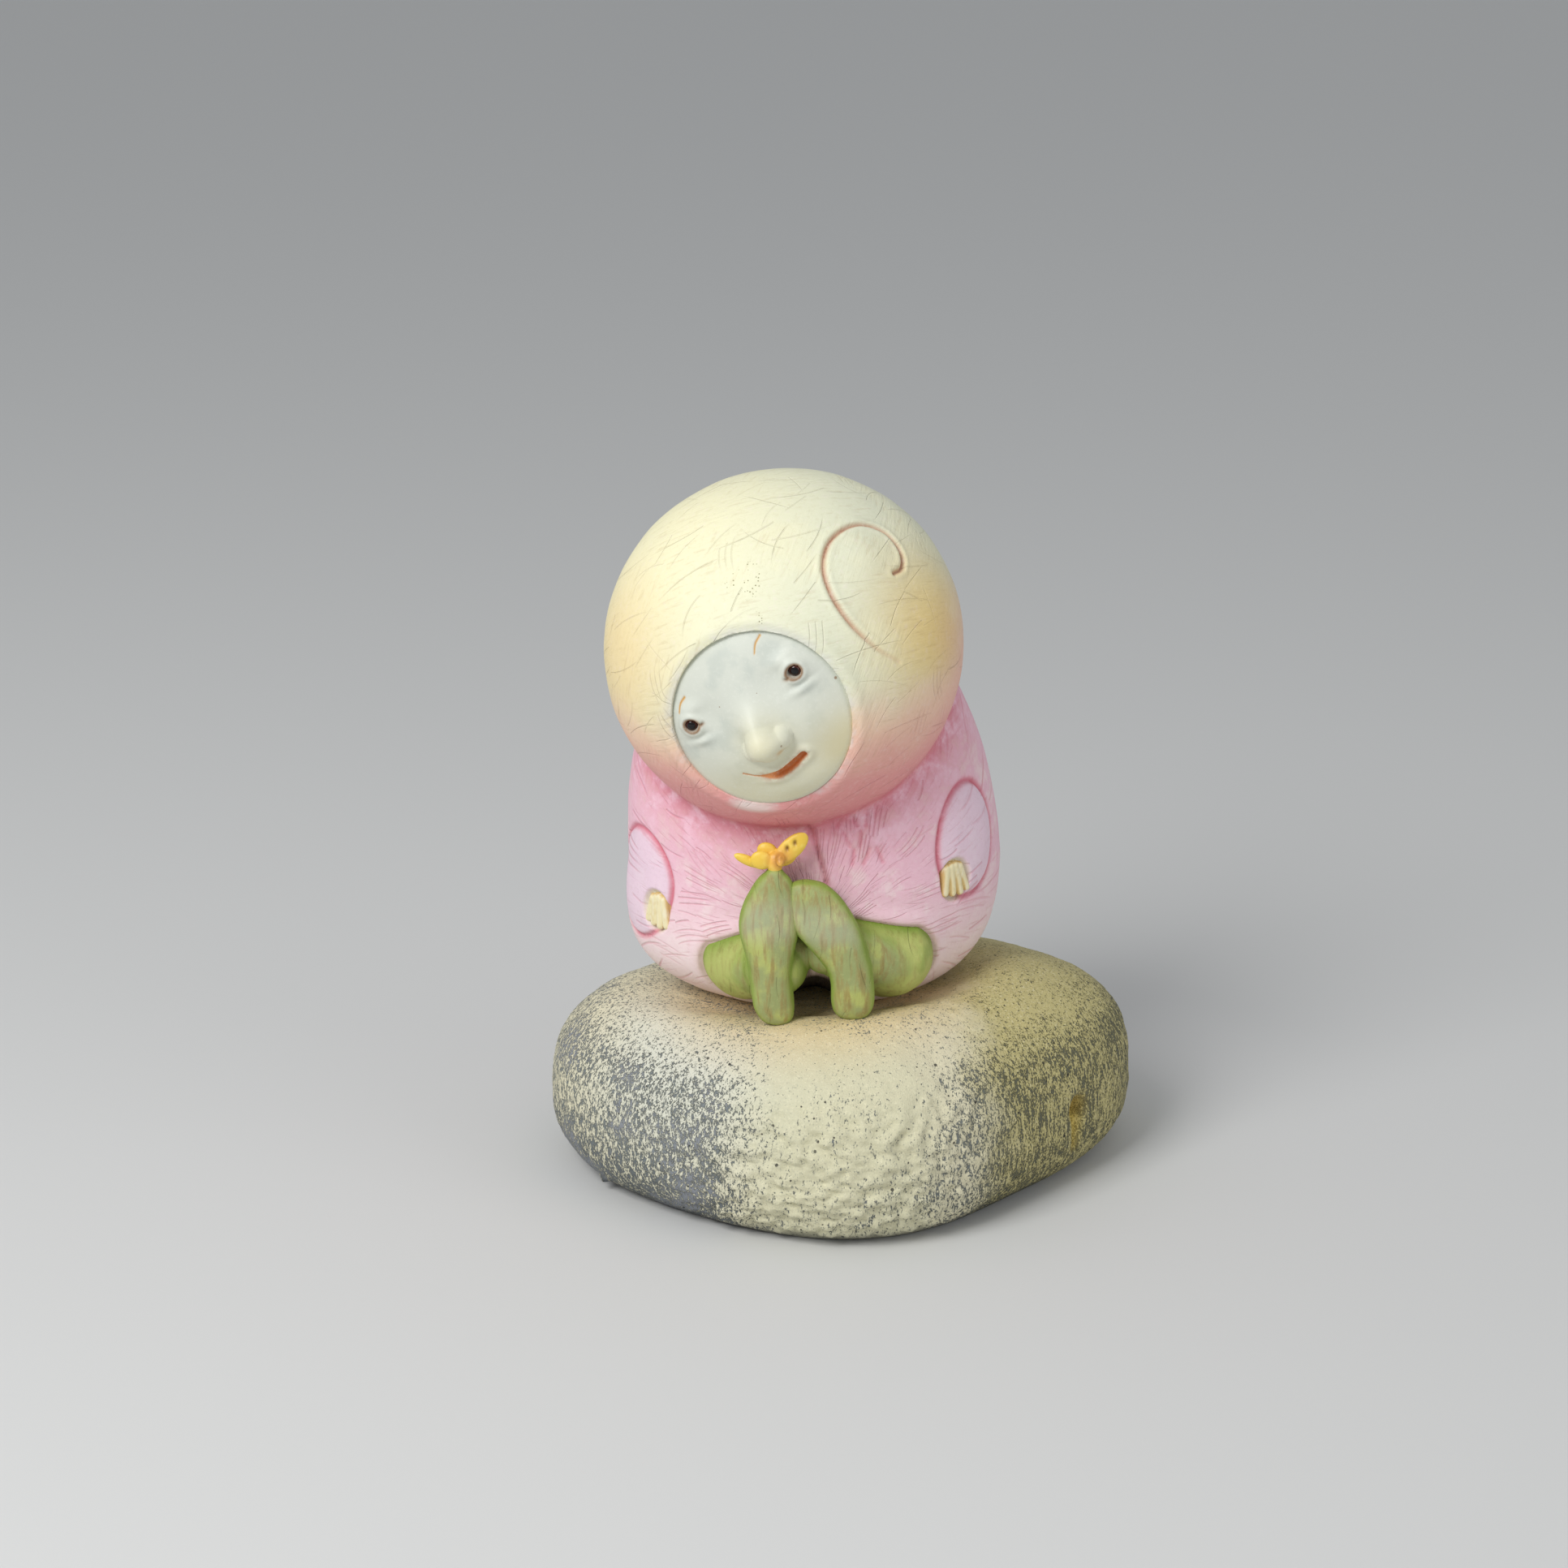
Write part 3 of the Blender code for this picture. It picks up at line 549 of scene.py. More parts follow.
def refine(obj, chosen, cuts=1):
    """Splits the faces that touch the chosen vertices."""
    mesh = obj.data
    corners = np.empty(len(mesh.loops), dtype=np.int32)
    mesh.loops.foreach_get("vertex_index", corners)
    starts = np.empty(len(mesh.polygons), dtype=np.int32)
    mesh.polygons.foreach_get("loop_start", starts)
    touched = np.add.reduceat(chosen[corners].astype(np.int32), starts) > 0
    only(obj)
    bpy.ops.object.mode_set(mode="EDIT")
    bpy.ops.mesh.select_all(action="DESELECT")
    bpy.ops.object.mode_set(mode="OBJECT")
    mesh.polygons.foreach_set("select", touched)
    edges = np.zeros(len(mesh.edges), dtype=bool)
    loop_edges = np.empty(len(mesh.loops), dtype=np.int32)
    mesh.loops.foreach_get("edge_index", loop_edges)
    totals = np.diff(np.append(starts, len(corners)))
    in_touched = np.repeat(touched, totals)
    edges[loop_edges[in_touched]] = True
    vertices = np.zeros(len(mesh.vertices), dtype=bool)
    vertices[corners[in_touched]] = True
    mesh.edges.foreach_set("select", edges)
    mesh.vertices.foreach_set("select", vertices)
    bpy.ops.object.mode_set(mode="EDIT")
    bpy.ops.mesh.select_mode(type="FACE")
    bpy.ops.mesh.subdivide(number_cuts=cuts, smoothness=0.0, quadcorner="INNERVERT")
    bpy.ops.mesh.select_all(action="DESELECT")
    bpy.ops.object.mode_set(mode="OBJECT")


def roughen(obj, name, size, strength, group="", **settings):
    """Moves the skin in and out by soft noise with features of that size."""
    texture = bpy.data.textures.new(name, "CLOUDS")
    texture.noise_scale = size
    for key, value in settings.items():
        setattr(texture, key, value)
    modify(obj, "DISPLACE", texture=texture, strength=strength, mid_level=0.5, vertex_group=group)


def placed(obj, material, slot, *nodes):
    """Finishes a piece: its paint, the nodes it stands for and the body it rides on. Its slot is not used."""
    obj.data.materials.clear()
    obj.data.materials.append(material)
    only(obj)
    bpy.ops.object.shade_smooth()
    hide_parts(*nodes)
    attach(obj, BODY)
    return obj


# Forms

def ramp(value, start, end):
    """A smooth step from 0 at start to 1 at end."""
    t = np.clip((value - start) / (end - start), 0, 1)
    return t * t * (3 - 2 * t)


def bell(*shares):
    """1 where all the shares are 0, fading round it."""
    return np.exp(-sum(np.square(share) for share in shares))


def dome(x, y, middle_x, middle_y, half_x, half_y):
    """The height of a round dome, 1 at its middle and 0 at its edge."""
    return np.sqrt(np.clip(1 - ((x - middle_x) / half_x) ** 2 - ((y - middle_y) / half_y) ** 2, 0, 1))


def superround(share, fullness):
    return np.clip(1 - np.clip(share, 0, 1) ** fullness, 0, 1) ** (1 / fullness)


def frame_towards(azimuth, elevation, roll=0.0):
    """Axes across, up and out of a place that looks that way, as columns. Azimuth 0 is -Y, towards +X."""
    azimuth, elevation, roll = (math.radians(angle) for angle in (azimuth, elevation, roll))
    out = Vector((math.sin(azimuth) * math.cos(elevation),
                  -math.cos(azimuth) * math.cos(elevation), math.sin(elevation)))
    across = Matrix.Rotation(roll, 3, out) @ Vector((math.cos(azimuth), math.sin(azimuth), 0))
    return np.array((across, out.cross(across), out)).T


FACE_FRAME = frame_towards(FACE_AZIMUTH, FACE_ELEVATION, FACE_ROLL)
CURL_FRAME = frame_towards(CURL_AZIMUTH, CURL_ELEVATION)
HOOD_FRAME = frame_towards(0.0, 20.0)


def between(values, along):
    """A smooth curve through evenly spaced values, at shares of the way along it."""
    values = np.array(values, dtype=float)
    padded = np.concatenate((2 * values[:1] - values[1:2], values, 2 * values[-1:] - values[-2:-1]))
    place = np.clip(along, 0, 1) * (len(values) - 1)
    k = np.minimum(place.astype(int), len(values) - 2)
    t = (place - k).reshape(-1, *(1,) * (values.ndim - 1))
    a, b, c, d = (padded[k + step] for step in range(4))
    return 0.5 * (2 * b + (c - a) * t + (2 * a - 5 * b + 4 * c - d) * t**2 + (3 * b - a - 3 * c + d) * t**3)


def thread(points, step=0.0003):
    """Places about every step along a smooth curve through the points."""
    points = np.array(points, dtype=float)
    count = max(8, int(np.linalg.norm(np.diff(points, axis=0), axis=1).sum() / step))
    return between(points, np.linspace(0, 1, count))


def path_distance(points, path, reach):
    """Distance from each point to a path, and how far along the nearest place is, from 0 to 1."""
    distance, along = np.full(len(points), 1.0), np.zeros(len(points))
    inside = (points > path.min(0) - reach) & (points < path.max(0) + reach)
    near = np.flatnonzero(inside.all(1))
    for chunk in np.array_split(near, len(near) // 3000 + 1):
        gaps = np.linalg.norm(points[chunk, None] - path[None], axis=2)
        nearest = gaps.argmin(1)
        distance[chunk] = gaps[np.arange(len(chunk)), nearest]
        along[chunk] = nearest / (len(path) - 1)
    return distance, along


def swell(offset):
    """Makes the hood a little bigger towards its crown."""
    towards = np.clip(offset @ CROWN_TOWARDS / np.linalg.norm(offset, axis=-1), 0, 1)
    return offset * (1 + CROWN_SWELL * towards[..., None] ** 3)


def hood_shape(points):
    return HEAD_CENTRE + swell(points * HEAD_RADIUS)


def on_hood(axes, across, up, out=0.0):
    """A place on the hood, across and up from where the axes point."""
    across, up = np.broadcast_arrays(np.asarray(across, float), np.asarray(up, float))
    height = np.sqrt(HEAD_RADIUS**2 - across**2 - up**2) + out
    return HEAD_CENTRE + swell(np.stack((across, up, height), axis=-1) @ axes.T)


def body_share(height):
    upper = superround((height - BODY_WAIST) / BODY_RISE, 2)
    lower = superround((BODY_WAIST - height) / BODY_DROP, BODY_FULLNESS)
    return np.where(height > BODY_WAIST, upper, lower)


def body_middle_x(height):
    above, below = np.clip(height - BODY_WAIST, 0, 1), np.clip(BODY_WAIST - height, 0, 1)
    return BODY_X + BODY_LEAN * above + BODY_SAG * below


def body_place(azimuth, height, out=0.0):
    """A place on the robe, by azimuth in degrees from -Y and by height."""
    azimuth, height = np.broadcast_arrays(np.asarray(azimuth, float), np.asarray(height, float))
    share = body_share(height)
    out = out + 0.0026 * bell((azimuth + 72) / 42, (height - 0.076) / 0.017)
    angle = np.radians(azimuth)
    x = body_middle_x(height) + (BODY_HALF_WIDTH * share + out) * np.sin(angle)
    y = BODY_Y - (BODY_HALF_DEPTH * share + out) * np.cos(angle)
    return np.stack((x, y, height), axis=-1)


def body_coordinates(points):
    """Azimuth in degrees, and distance out of the robe, of each point."""
    x = (points[:, 0] - body_middle_x(points[:, 2])) / BODY_HALF_WIDTH
    y = (points[:, 1] - BODY_Y) / BODY_HALF_DEPTH
    return np.degrees(np.arctan2(x, -y)), (np.hypot(x, y) - body_share(points[:, 2])) * 0.054


def body_frame(azimuth, height):
    """Where and which way the robe faces there, as a matrix: across, up and out."""
    place = Vector(body_place(azimuth, height))
    across = (Vector(body_place(azimuth + 1, height)) - place).normalized()
    up = (Vector(body_place(azimuth, height + 0.001)) - place).normalized()
    out = across.cross(up).normalized()
    return Matrix.Translation(place) @ Matrix((across, out.cross(across), out)).transposed().to_4x4()


def sleeve_share(side, azimuth, height):
    """How far out from a sleeve's middle, as a share of its outline."""
    spec = SLEEVES[side]
    across = np.radians(azimuth - spec["azimuth"]) * BODY_HALF_WIDTH
    up = height - spec["height"]
    lean = math.radians(-spec["turn"])
    across, up = across * math.cos(lean) - up * math.sin(lean), across * math.sin(lean) + up * math.cos(lean)
    return np.hypot(across / spec["size"][0], up / spec["size"][1])


def body_outline_shape(points):
    """Moves the unit sphere to the robe, flat where it sits."""
    lift = np.where(points[:, 2] > 0, BODY_RISE, BODY_DROP)
    azimuth = np.degrees(np.arctan2(points[:, 0], -points[:, 1]))
    placed_points = body_place(azimuth, BODY_WAIST + points[:, 2] * lift)
    placed_points[:, 2] = np.maximum(placed_points[:, 2], SEAT_HEIGHT)
    return placed_points


def limb_shape(side):
    """The form of a leg from hip to ankle, for the unit sphere's points."""
    hip, ankle = (Vector(p) for p in LEGS[side])
    turn = np.array((ankle - hip).to_track_quat("Z", "Y").to_matrix())

    def form(points):
        start = np.array(hip) + (points * (HIP_WIDTH, 1, 1)) @ turn.T * HIP_RADIUS
        end = np.array(ankle) + points @ turn.T * ANKLE_RADIUS
        return np.where(points[:, 2:] > 0, end, start)

    return form


def foot_shape(side):
    """The form of a foot, for the unit sphere's points."""
    spec = FEET[side]
    half_length = (spec["toe"] - spec["heel"]) / 2
    middle = (spec["toe"] + spec["heel"]) / 2

    def form(points):
        along = (points[:, 2] + 1) / 2
        ring = np.maximum(np.hypot(points[:, 0], points[:, 1]), 1e-9)
        full = superround(np.abs(points[:, 2]), FOOT_FULLNESS)
        x = between(spec["line"], along) + points[:, 0] / ring * between(spec["half"], along) * full
        y = SOLE_Y + FOOT_THICKNESS / 2 + points[:, 1] / ring * FOOT_THICKNESS / 2 * full
        return np.stack((x, y, middle + points[:, 2] * half_length), axis=1)

    return form


def toe_tip():
    spec = FEET["left"]
    return Vector((spec["line"][-1], SOLE_Y + FOOT_THICKNESS / 2, spec["toe"] - TOE_KNOB / 2))


def leg_gap(side, points):
    """Distance out of a leg of each point, near enough."""
    hip, ankle = (Vector(p) for p in LEGS[side])
    turn = np.array((ankle - hip).to_track_quat("Z", "Y").to_matrix())
    local = (points - np.array(hip)) @ turn
    reach = (ankle - hip).length
    along = np.clip(local[:, 2] / reach, 0, 1)
    beyond = local[:, 2] - along * reach
    across = local[:, 0] / (HIP_WIDTH + (1 - HIP_WIDTH) * along)
    radius = HIP_RADIUS + (ANKLE_RADIUS - HIP_RADIUS) * along
    return np.sqrt(across**2 + local[:, 1] ** 2 + beyond**2) - radius


def face_reach(across, up):
    """Distance from the face's middle, made less along its tall way."""
    tall = math.radians(FACE_ROLL)
    along = across * math.sin(tall) + up * math.cos(tall)
    return np.hypot(along / FACE_TALL, across * math.cos(tall) - up * math.sin(tall))


def round_the_rim(points):
    """Draws the points nearest the face's rim on to it, so that the rim is cut cleanly."""
    local = (points - HEAD_CENTRE) @ FACE_FRAME
    reach = face_reach(local[:, 0], local[:, 1])
    off = reach - FACE_RADIUS
    pull = 0.9 * bell(off / 0.00038) * (local[:, 2] > 0)
    local[:, :2] *= (1 - off / reach * pull)[:, None]
    return HEAD_CENTRE + local @ FACE_FRAME.T


# The hooded robe

def hood_gap(points):
    offset = points - HEAD_CENTRE
    distance = np.linalg.norm(offset, axis=1)
    towards = np.clip(offset @ CROWN_TOWARDS / distance, 0, 1)
    return distance - HEAD_RADIUS * (1 + CROWN_SWELL * towards**3)


def chest_strokes():
    """Rows of short strokes on the chest, as pairs of azimuth and height. They aren't letters."""
    marks = []
    for row, height in enumerate(CHEST_ROWS):
        for k in range(3 - row % 2):
            azimuth = 9.0 + 4.2 * k + 1.5 * row
            lean = (1.2, -0.8, 0.5)[(k + row) % 3]
            marks.append(((azimuth - lean, height - 0.0024), (azimuth + lean, height + 0.0024)))
    return marks


def clay_marks(points, form):
    """How far each point of the clay is moved out, and the pigment and regions for the paint."""
    azimuth, robe_gap = body_coordinates(points)
    robe_gap = np.maximum(robe_gap, points[:, 2] - ROBE_TOP)
    head_gap = hood_gap(points)
    on_head = ramp(robe_gap - head_gap, -0.003, 0.003)
    height = points[:, 2]
    crease = bell((np.abs(head_gap) + np.abs(robe_gap)) / 0.0055)
    move = np.zeros(len(points))
    groove = np.zeros(len(points))
    near = np.zeros(len(points), dtype=bool)

    path = on_hood(CURL_FRAME, *thread([(x, y, 0) for x, y in CURL])[:, :2].T)
    gap, along = path_distance(points, path, 0.006)
    fade = 1 - 0.75 * ramp(along, 0.72, 1.0)
    move -= form.curl_depth * fade * bell(gap / form.curl_width)
    move += 0.00025 * fade * bell((gap - 0.0019) / 0.0009)
    groove += fade * bell(gap / 0.00075)
    near |= gap < 0.0026
    local = (points - HEAD_CENTRE) @ CURL_FRAME
    move += 0.0010 * bell((local[:, 0] - 0.003) / 0.011, (local[:, 1] - 0.001) / 0.012) * (local[:, 2] > 0)

    sleeve = np.zeros(len(points))
    pocket = np.zeros(len(points))
    for side, spec in SLEEVES.items():
        away = sleeve_share(side, azimuth, height)
        body_side = 1 - on_head
        size = (spec["size"][0] + spec["size"][1]) / 2
        rim = (away - 1) * size
        move += body_side * SLEEVE_SWELL * (1 - ramp(away, 0.45, 1.12))
        move -= body_side * form.sleeve_depth * bell(rim / 0.0009)
        groove = np.maximum(groove, body_side * bell(rim / 0.0012))
        sleeve = np.maximum(sleeve, body_side * (1 - ramp(rim, -0.0008, 0.0002)))
        flat = np.radians(azimuth - spec["azimuth"]) * BODY_HALF_WIDTH - spec["hand"][0]
        lift = height - spec["height"] - spec["hand"][1]
        hand = np.hypot(flat / POCKET_SIZE[0], lift / POCKET_SIZE[1])
        inside = body_side * (1 - ramp(hand, 0.86, 1.06))
        pocket = np.maximum(pocket, inside)
        move -= 0.0021 * inside
        near |= (np.abs(rim) < 0.0026) & (on_head < 0.5)
        near |= (np.abs(hand - 1) < 0.30) & (on_head < 0.5)

    hem = np.zeros(len(points))
    for side in LEGS:
        gap = leg_gap(side, points)
        front = points[:, 1] < 0
        move += front * form.hem_proud * ramp(gap, 0.0002, 0.0012) * ramp(gap, 0.0065, 0.0012)
        move -= front * form.hem_depth * ramp(gap, 0.0002, -0.0012)
        hem = np.maximum(hem, front * bell(gap / 0.0016))
        near |= front & (np.abs(gap) < 0.0030)

    fold = thread([(azimuth_there / 1000, height_there, 0) for azimuth_there, height_there in CHEST_FOLD])
    path = body_place(fold[:, 0] * 1000, fold[:, 1])
    gap, along = path_distance(points, path, 0.010)
    fold_azimuths, fold_heights = zip(*CHEST_FOLD[::-1])
    fold_side = np.sign(azimuth - np.interp(height, fold_heights, fold_azimuths))
    fade = 1 - ramp(along, 0.80, 1.0)
    move -= form.fold_depth * fade * bell(gap / 0.0009)
    move += 0.0008 * fade * bell((gap - 0.0015) / 0.0030) * (fold_side > 0)
    groove = np.maximum(groove, 0.5 * fade * bell(gap / 0.0010))
    near |= gap < 0.0026

    for start, end in chest_strokes():
        ends = np.linspace(start, end, 24)
        gap, _ = path_distance(points, body_place(ends[:, 0], ends[:, 1]), 0.003)
        move -= form.stroke_depth * bell(gap / 0.00055)
        groove = np.maximum(groove, 0.55 * bell(gap / 0.0007))
        near |= gap < 0.0014

    local = (points - HEAD_CENTRE) @ FACE_FRAME
    reach = face_reach(local[:, 0], local[:, 1])
    facing = local[:, 2] > 0
    window = facing * (1 - ramp(reach, FACE_RADIUS - 0.0012, FACE_RADIUS + 0.0001))
    lip = facing * bell((reach - FACE_RADIUS - 0.0022) / 0.0022)
    rolled = facing * bell((reach - FACE_RADIUS) / form.rim_round)
    upper = 0.45 + 0.55 * ramp(local[:, 1], -0.018, 0.012)
    move += 0.0009 * upper * lip - 0.0007 * rolled
    near |= facing & (np.abs(reach - FACE_RADIUS) < 0.0030)
    in_lap = (points[:, (0, 2)] - LAP_HOLLOW) / LAP_HOLLOW_SIZE
    hollow = bell(in_lap[:, 0], in_lap[:, 1]) * (points[:, 1] < 0)
    points[:, 1] += form.lap_hollow * hollow * (1 - on_head)
    marks = {"hood": on_head, "hollow": hollow, "crease": crease, "groove": np.clip(groove, 0, 1),
             "sleeve": sleeve, "pocket": pocket, "hem": hem, "rim": rolled}
    return move, window * form.window_depth, near, marks


def make_hooded_robe(form):
    """The hood and the robe in one skin, with the curl, sleeves, hems and fold cut in it."""
    hood = shape(ball("hood", 144, 108), hood_shape)
    robe = shape(ball("robe", 144, 108), body_outline_shape)
    clay = fuse("hooded_robe", [hood, robe], form.mesh_step)
    points = read_points(clay)
    soft = bell((np.abs(hood_gap(points)) + np.abs(body_coordinates(points)[1])) / 0.0065)
    soft *= 0.45 + 0.55 * ramp(points[:, 0], -0.02, 0.03)
    group = weigh(clay, "soft_crease", soft)
    modify(clay, "SMOOTH", factor=0.6, iterations=14, vertex_group=group)
    roughen(clay, "hand_worked", 0.016, form.unevenness)
    refine(clay, clay_marks(read_points(clay), form)[2])
    points = round_the_rim(read_points(clay))
    move, sink, _, marks = clay_marks(points, form)
    points = points + read_points(clay, "normal") * move[:, None] - sink[:, None] * FACE_FRAME[:, 2]
    write_points(clay, points)
    for name, values in marks.items():
        store(clay, name, values)
    return clay


def clay_finish(paint):
    """Washes of cream and pink over pale clay, scratched and rubbed with pigment."""
    f = Finish("washed_clay", Roughness=0.62, Specular_IOR_Level=0.35)
    x, y, z = (f.part(f.place, axis) for axis in range(3))
    hood, crease, groove = f.attribute("hood"), f.attribute("crease"), f.attribute("groove")
    soft = f.noise(0.020, detail=3)
    fine = f.noise(0.0016, detail=3, roughness=0.6)
    patchy = f.noise(0.0075, detail=4, roughness=0.6)

    towards = f.vectors("NORMALIZE", f.vectors("SUBTRACT", f.place, tuple(HEAD_CENTRE)))
    side, lift, facing = (
        f.vectors("DOT_PRODUCT", towards, tuple(axis), output="Value") for axis in HOOD_FRAME.T)
    bend = f.maths("ARCCOSINE", facing)
    bend = bend / f.maths("MAXIMUM", f.maths("SINE", bend), 0.05) * HEAD_RADIUS
    around, up = side * bend, lift * bend
    slant = f.strokes(around, up, 0.0140, 0.0105, 0.00036, 48, 40, 3.1, keep=0.80)
    sweep = f.strokes(around, up, 0.0220, 0.0170, 0.00036, 12, 40, 17.4, keep=0.85)
    hatch = f.strokes(around, up, 0.0150, 0.0085, 0.00036, 95, 50, 41.7, rows=3, pitch=0.0022, keep=0.24)
    stray = f.strokes(around, up, 0.0170, 0.0120, 0.00036, -30, 90, 31.9, keep=0.40)
    level = f.noise(0.0016, f.joined(around * 0.14 + up * 0.10, up - around * 0.25), detail=3, roughness=0.6)
    steep = f.noise(0.0017, f.joined(around - up * 0.35, up * 0.13), detail=3, roughness=0.6)
    steepness = f.ramp(soft, 0.44, 0.58)
    wrinkled = level * (1 - steepness) + steep * steepness
    hood_scratch = f.maths("MAXIMUM", f.maths("MAXIMUM", slant, sweep), f.maths("MAXIMUM", hatch, stray))
    hood_scratch = hood_scratch * f.ramp(facing, -0.45, -0.05)

    from_lap_x, from_lap_z = x + 0.0110, z - 0.0960
    turn = f.maths("ARCTAN2", f.maths("ARCTAN2", x + 0.0097, 0.010 - y) * 0.058, from_lap_z) * 0.050
    out = f.maths("SQRT", from_lap_x * from_lap_x + from_lap_z * from_lap_z)
    comb = f.strokes(turn, out, 0.0075, 0.0065, 0.00046, 90, 44, 5.7, keep=0.72)
    comb_two = f.strokes(turn, out, 0.0110, 0.0090, 0.00050, 90, 60, 23.3, rows=2, pitch=0.0020, keep=0.50)
    brushed = f.noise(0.0010, f.joined(turn, out * 0.10), detail=3, roughness=0.55)
    robe_scratch = f.maths("MAXIMUM", f.maths("MAXIMUM", comb, comb_two), f.ramp(brushed, 0.55, 0.72) * 0.5)
    robe_scratch = robe_scratch * f.ramp(y, 0.024, 0.002)
    scratch = f.maths("MINIMUM", f.maths("MAXIMUM", hood_scratch * hood, robe_scratch * (1 - hood)), 1.0)

    down = x * 0.14 - z * 0.98 + soft * 0.016
    cream = f.mix(paint.pale, paint.cream, f.spot((-0.066, -0.030, 0.226), 0.006, 0.078))
    cream = f.mix(cream, paint.yellow, f.spot((0.027, -0.044, 0.199), 0.002, 0.042) * 0.80)
    cream = f.mix(cream, paint.cream, f.ramp(soft, 0.50, 0.70) * 0.35)
    cream = f.mix(cream, paint.sand, f.spot((-0.074, -0.038, 0.186), 0.006, 0.046) * 0.70)
    hood_colour = f.mix(cream, paint.peach, f.ramp(down, -0.178, -0.156))
    hood_colour = f.mix(hood_colour, paint.blush, f.ramp(down, -0.163, -0.138))
    hood_colour = f.mix(hood_colour, paint.blush, f.ramp(x, 0.024, 0.044) * f.ramp(z, 0.225, 0.190) * 0.55)
    hood_colour = f.mix(hood_colour, paint.rose, f.ramp(down, -0.140, -0.120) * 0.50)
    hood_colour = f.mix(hood_colour, paint.umber, hood_scratch * f.ramp(z, 0.150, 0.190) * 0.12)
    hood_colour = f.mix(hood_colour, paint.umber, f.ramp(wrinkled, 0.46, 0.32) * 0.16)
    hood_colour = f.mix(hood_colour, paint.rose, hood_scratch * f.ramp(down, -0.172, -0.150) * 0.16)

    robe_colour = f.mix(paint.pink, paint.milk, f.ramp(z + patchy * 0.02, 0.124, 0.082) * 0.85)
    robe_colour = f.mix(robe_colour, paint.milk, f.ramp(patchy, 0.48, 0.66) * 0.55)
    robe_colour = f.mix(robe_colour, paint.lilac, f.attribute("sleeve") * 0.80)
    near_hood = f.ramp(f.vectors("DISTANCE", f.place, tuple(HEAD_CENTRE), output="Value"), 0.088, 0.060)
    robe_colour = f.mix(robe_colour, paint.rose, near_hood * f.ramp(patchy, 0.35, 0.62) * 0.40)
    robe_colour = f.mix(robe_colour, paint.rose, robe_scratch * (0.18 + patchy * 0.40))

    base = f.mix(robe_colour, hood_colour, hood)
    base = f.mix(base, paint.rose, crease * f.ramp(patchy, 0.30, 0.60) * 0.62)
    groove_colour = f.mix(paint.rose, f.mix(paint.umber, paint.rose, 0.35), hood)
    base = f.mix(base, groove_colour, groove * (0.55 + patchy * 0.6))
    base = f.mix(base, paint.umber, f.attribute("hem") * 0.40)
    # Painted shade: the hollow under the lap is darkened to near black where shade falls.
    base = f.mix(base, paint.painted_lap_shade, f.ramp(f.attribute("hollow"), 0.12, 0.42) * 0.94)
    base = f.mix(base, paint.pale, f.attribute("pocket") * 0.80)
    speckled = f.spot((-0.0325, -0.060, 0.2205), 0.002, 0.0105)
    speckled = speckled + f.spot((-0.028, -0.066, 0.2090), 0.001, 0.0045)
    speckled = f.ramp(speckled + (patchy - 0.5) * 1.8, 0.25, 0.8)
    base = f.mix(base, paint.olive, f.specks(0.0009, 0.50, 0.00031) * speckled * 0.8)
    # Partly rubbed clay, partly painted highlight: the rolled rim round the face is painted paler in patches.
    base = f.mix(base, paint.rubbed, f.attribute("rim") * f.ramp(patchy, 0.38, 0.60) * 0.50)
    smear = f.spot((-0.0301, -0.0555, 0.1440), 0.002, 0.0075, (0.7, 1, 1.8))
    base = f.mix(base, paint.smear, smear * 0.6)
    base = f.mix(base, paint.milk, f.ramp(fine, 0.52, 0.72) * 0.16)
    base = f.mix(base, paint.umber, f.ramp(fine, 0.46, 0.28) * 0.10)
    lines = f.noise(0.0010, f.mapped(f.place, (0.35, 1, 1), (0, 35, 0)), detail=3, roughness=0.6)
    height = 0.55 - scratch * 0.45 + fine * 0.16 + patchy * 0.14
    height = height + lines * (1 - hood) * 0.20 + wrinkled * hood * 0.60
    return f.finished(base, 0.56 + patchy * 0.14, height, depth=0.00045)


# The face

